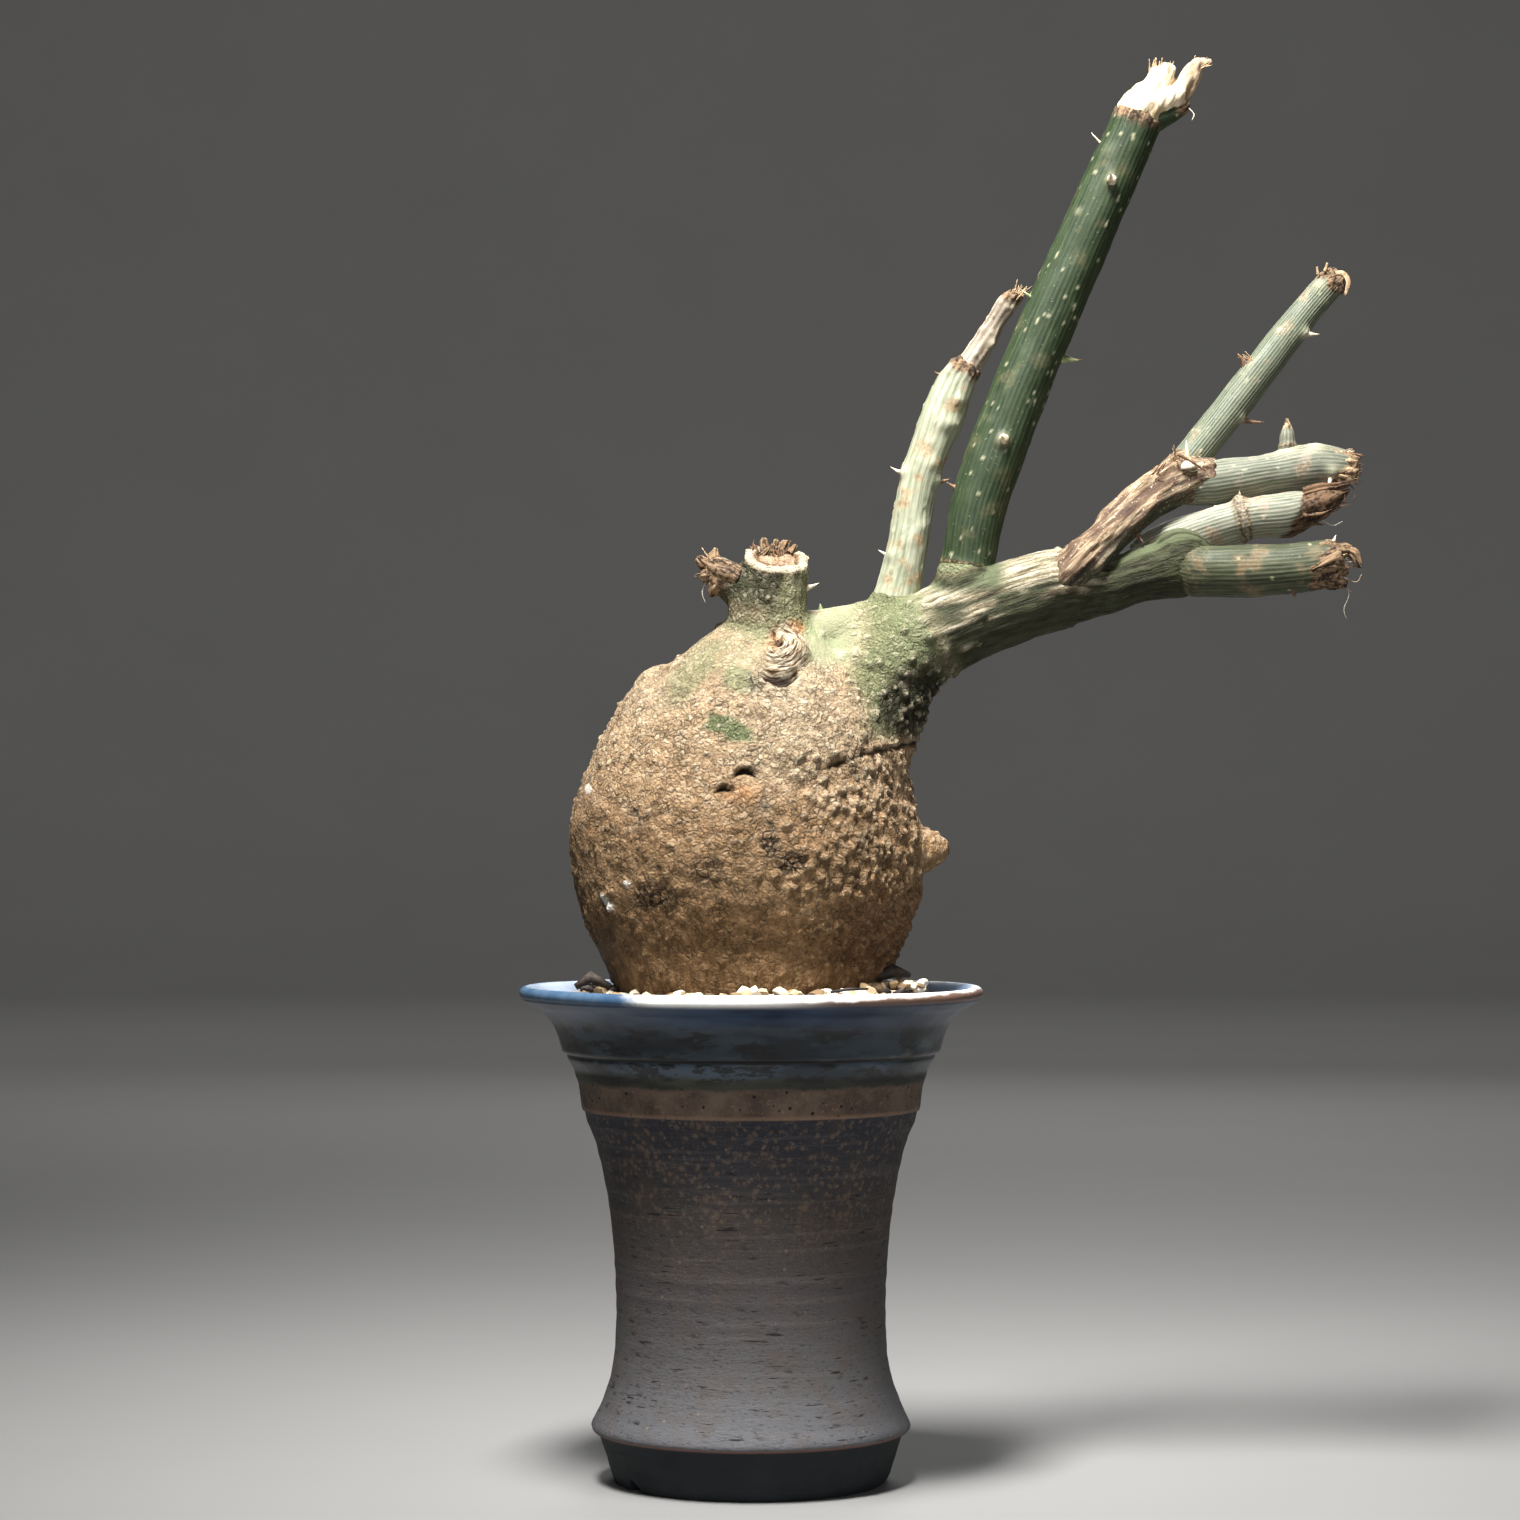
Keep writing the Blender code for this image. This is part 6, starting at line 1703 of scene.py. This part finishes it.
def makeBed():
    bpy.ops.object.select_all(action="DESELECT")
    bpy.ops.mesh.primitive_torus_add(major_radius=dressing["bedRadius"] * mm, major_segments=160,
                                     minor_radius=dressing["bedThickness"] * mm, minor_segments=20,
                                     location=place(0, 0, 0))
    bpy.ops.object.transform_apply(location=True, rotation=False, scale=False)
    bed = bpy.context.object
    points = pointsOf(bed)
    points[:, 2] = dressing["bedHeight"] + points[:, 2] * dressing["bedFlat"]
    angle = np.arctan2(points[:, 1], points[:, 0])
    reach = np.hypot(points[:, 0], points[:, 1])
    wide = dressing["bedRadius"] + 0.2 + (reach - dressing["bedRadius"]) * dressing["bedWide"]
    points[:, 0], points[:, 1] = wide * np.cos(angle), wide * np.sin(angle)
    points[:, 2] += 0.4 * roughLumps(points, 3.0, 2, 12)
    setPoints(bed, points)
    setMask(bed, "stone", [0.1, 0.3, 1.0])
    return bed


def pumiceFinish():
    material = newFinish("pumiceGrains", 0.92)
    shade, kind, bed = masks("stone")[:3]
    where = millimetres()
    patch = grain(where, 1.4, 4.0, 0.7)
    pores = grain(where, 0.4, 2.0, 0.7)
    colour = shades(shade, (0.0, (92, 70, 46)), (0.3, (142, 116, 82)), (0.65, (186, 166, 134)),
                    (1.0, (226, 216, 194)))
    colour = cover(colour, (112, 88, 62), between(kind, 0.8, 0.86), 0.8)
    colour = cover(colour, (138, 108, 72), between(patch, 0.42, 0.3), 0.6)
    colour = cover(colour, (104, 80, 54), between(pores, 0.4, 0.3), 0.7)
    colour = cover(colour, (62, 48, 36), bed)
    feed("Base Color", colour)
    relief((patch, 0.4, 0.7), (pores, 0.2, 0.7))
    return material


def shardFinish():
    material = newFinish("darkShard", 0.75)
    where = millimetres()
    colour = mottle(grain(where, 1.5, 3.0), 0.35, 0.65, (22, 18, 16), (58, 45, 35))
    feed("Base Color", colour)
    relief((grain(where, 0.6, 3.0), 0.2, 0.6))
    return material


def addShards(shape):
    draw = random.Random(dressing["shardSeed"])
    for low, high, count in dressing["shards"]:
        for _ in range(count):
            angle = math.radians(draw.uniform(low, high))
            reach = draw.uniform(*dressing["reach"])
            foot = np.array(around(angle, reach, dressing["shardHeight"] + draw.uniform(-0.4, 0.8)))
            way = draw.uniform(0, math.tau)
            length = draw.uniform(*dressing["shardLength"])
            tip = foot + (length * math.cos(way), length * math.sin(way), draw.uniform(-0.3, 1.8))
            middle = (foot + tip) / 2 + (0.0, 0.0, 0.3)
            width = draw.uniform(*dressing["shardWidth"])
            addStrand(shape, [foot, middle, tip], [0.5 * width, width, 0.3 * width], sides=5, flat=0.35)
    for points, radii, sides, flat in dressing["twigs"]:
        addStrand(shape, points, radii, sides, flat)


stones = makeStones()
bed = makeBed()
dress([*stones, bed], pumiceFinish())
shards = strandPiece("shards", addShards)
dress(shards, shardFinish())
pumice = joinPieces(bed, [*stones, shards])
pumice.name = "pumiceBed"
settle(pumice, "top_dressing")


def soilFinish():
    material = newFinish("pottingMix", 0.95)
    where = millimetres()
    colour = shades(grain(where, 2.4, 4.0, 0.7), (0.3, (46, 34, 26)), (0.5, (78, 58, 42)),
                    (0.66, (112, 88, 62)), (0.78, (160, 136, 104)))
    feed("Base Color", colour)
    relief((grain(where, 1.6, 4.0, 0.7), 0.6, 0.8))
    return material


def netFinish():
    material = newFinish("netPlastic", 0.5)
    where = millimetres()
    colour = mottle(grain(where, 3.0, 3.0), 0.3, 0.7, (24, 25, 26), (44, 45, 47))
    feed("Base Color", colour)
    relief((grain(where, 0.5, 2.0), 0.05, 0.5))
    return material


plainPieces = [("soil", "pottingMix", "soil", soilFinish()), ("drain_net", "drainNet", "net", netFinish())]
for nodeName, pieceName, slotName, material in plainPieces:
    piece = nodeCopy(nodeName, pieceName)
    dress(piece, material)
    settle(piece, nodeName, smooth=False)
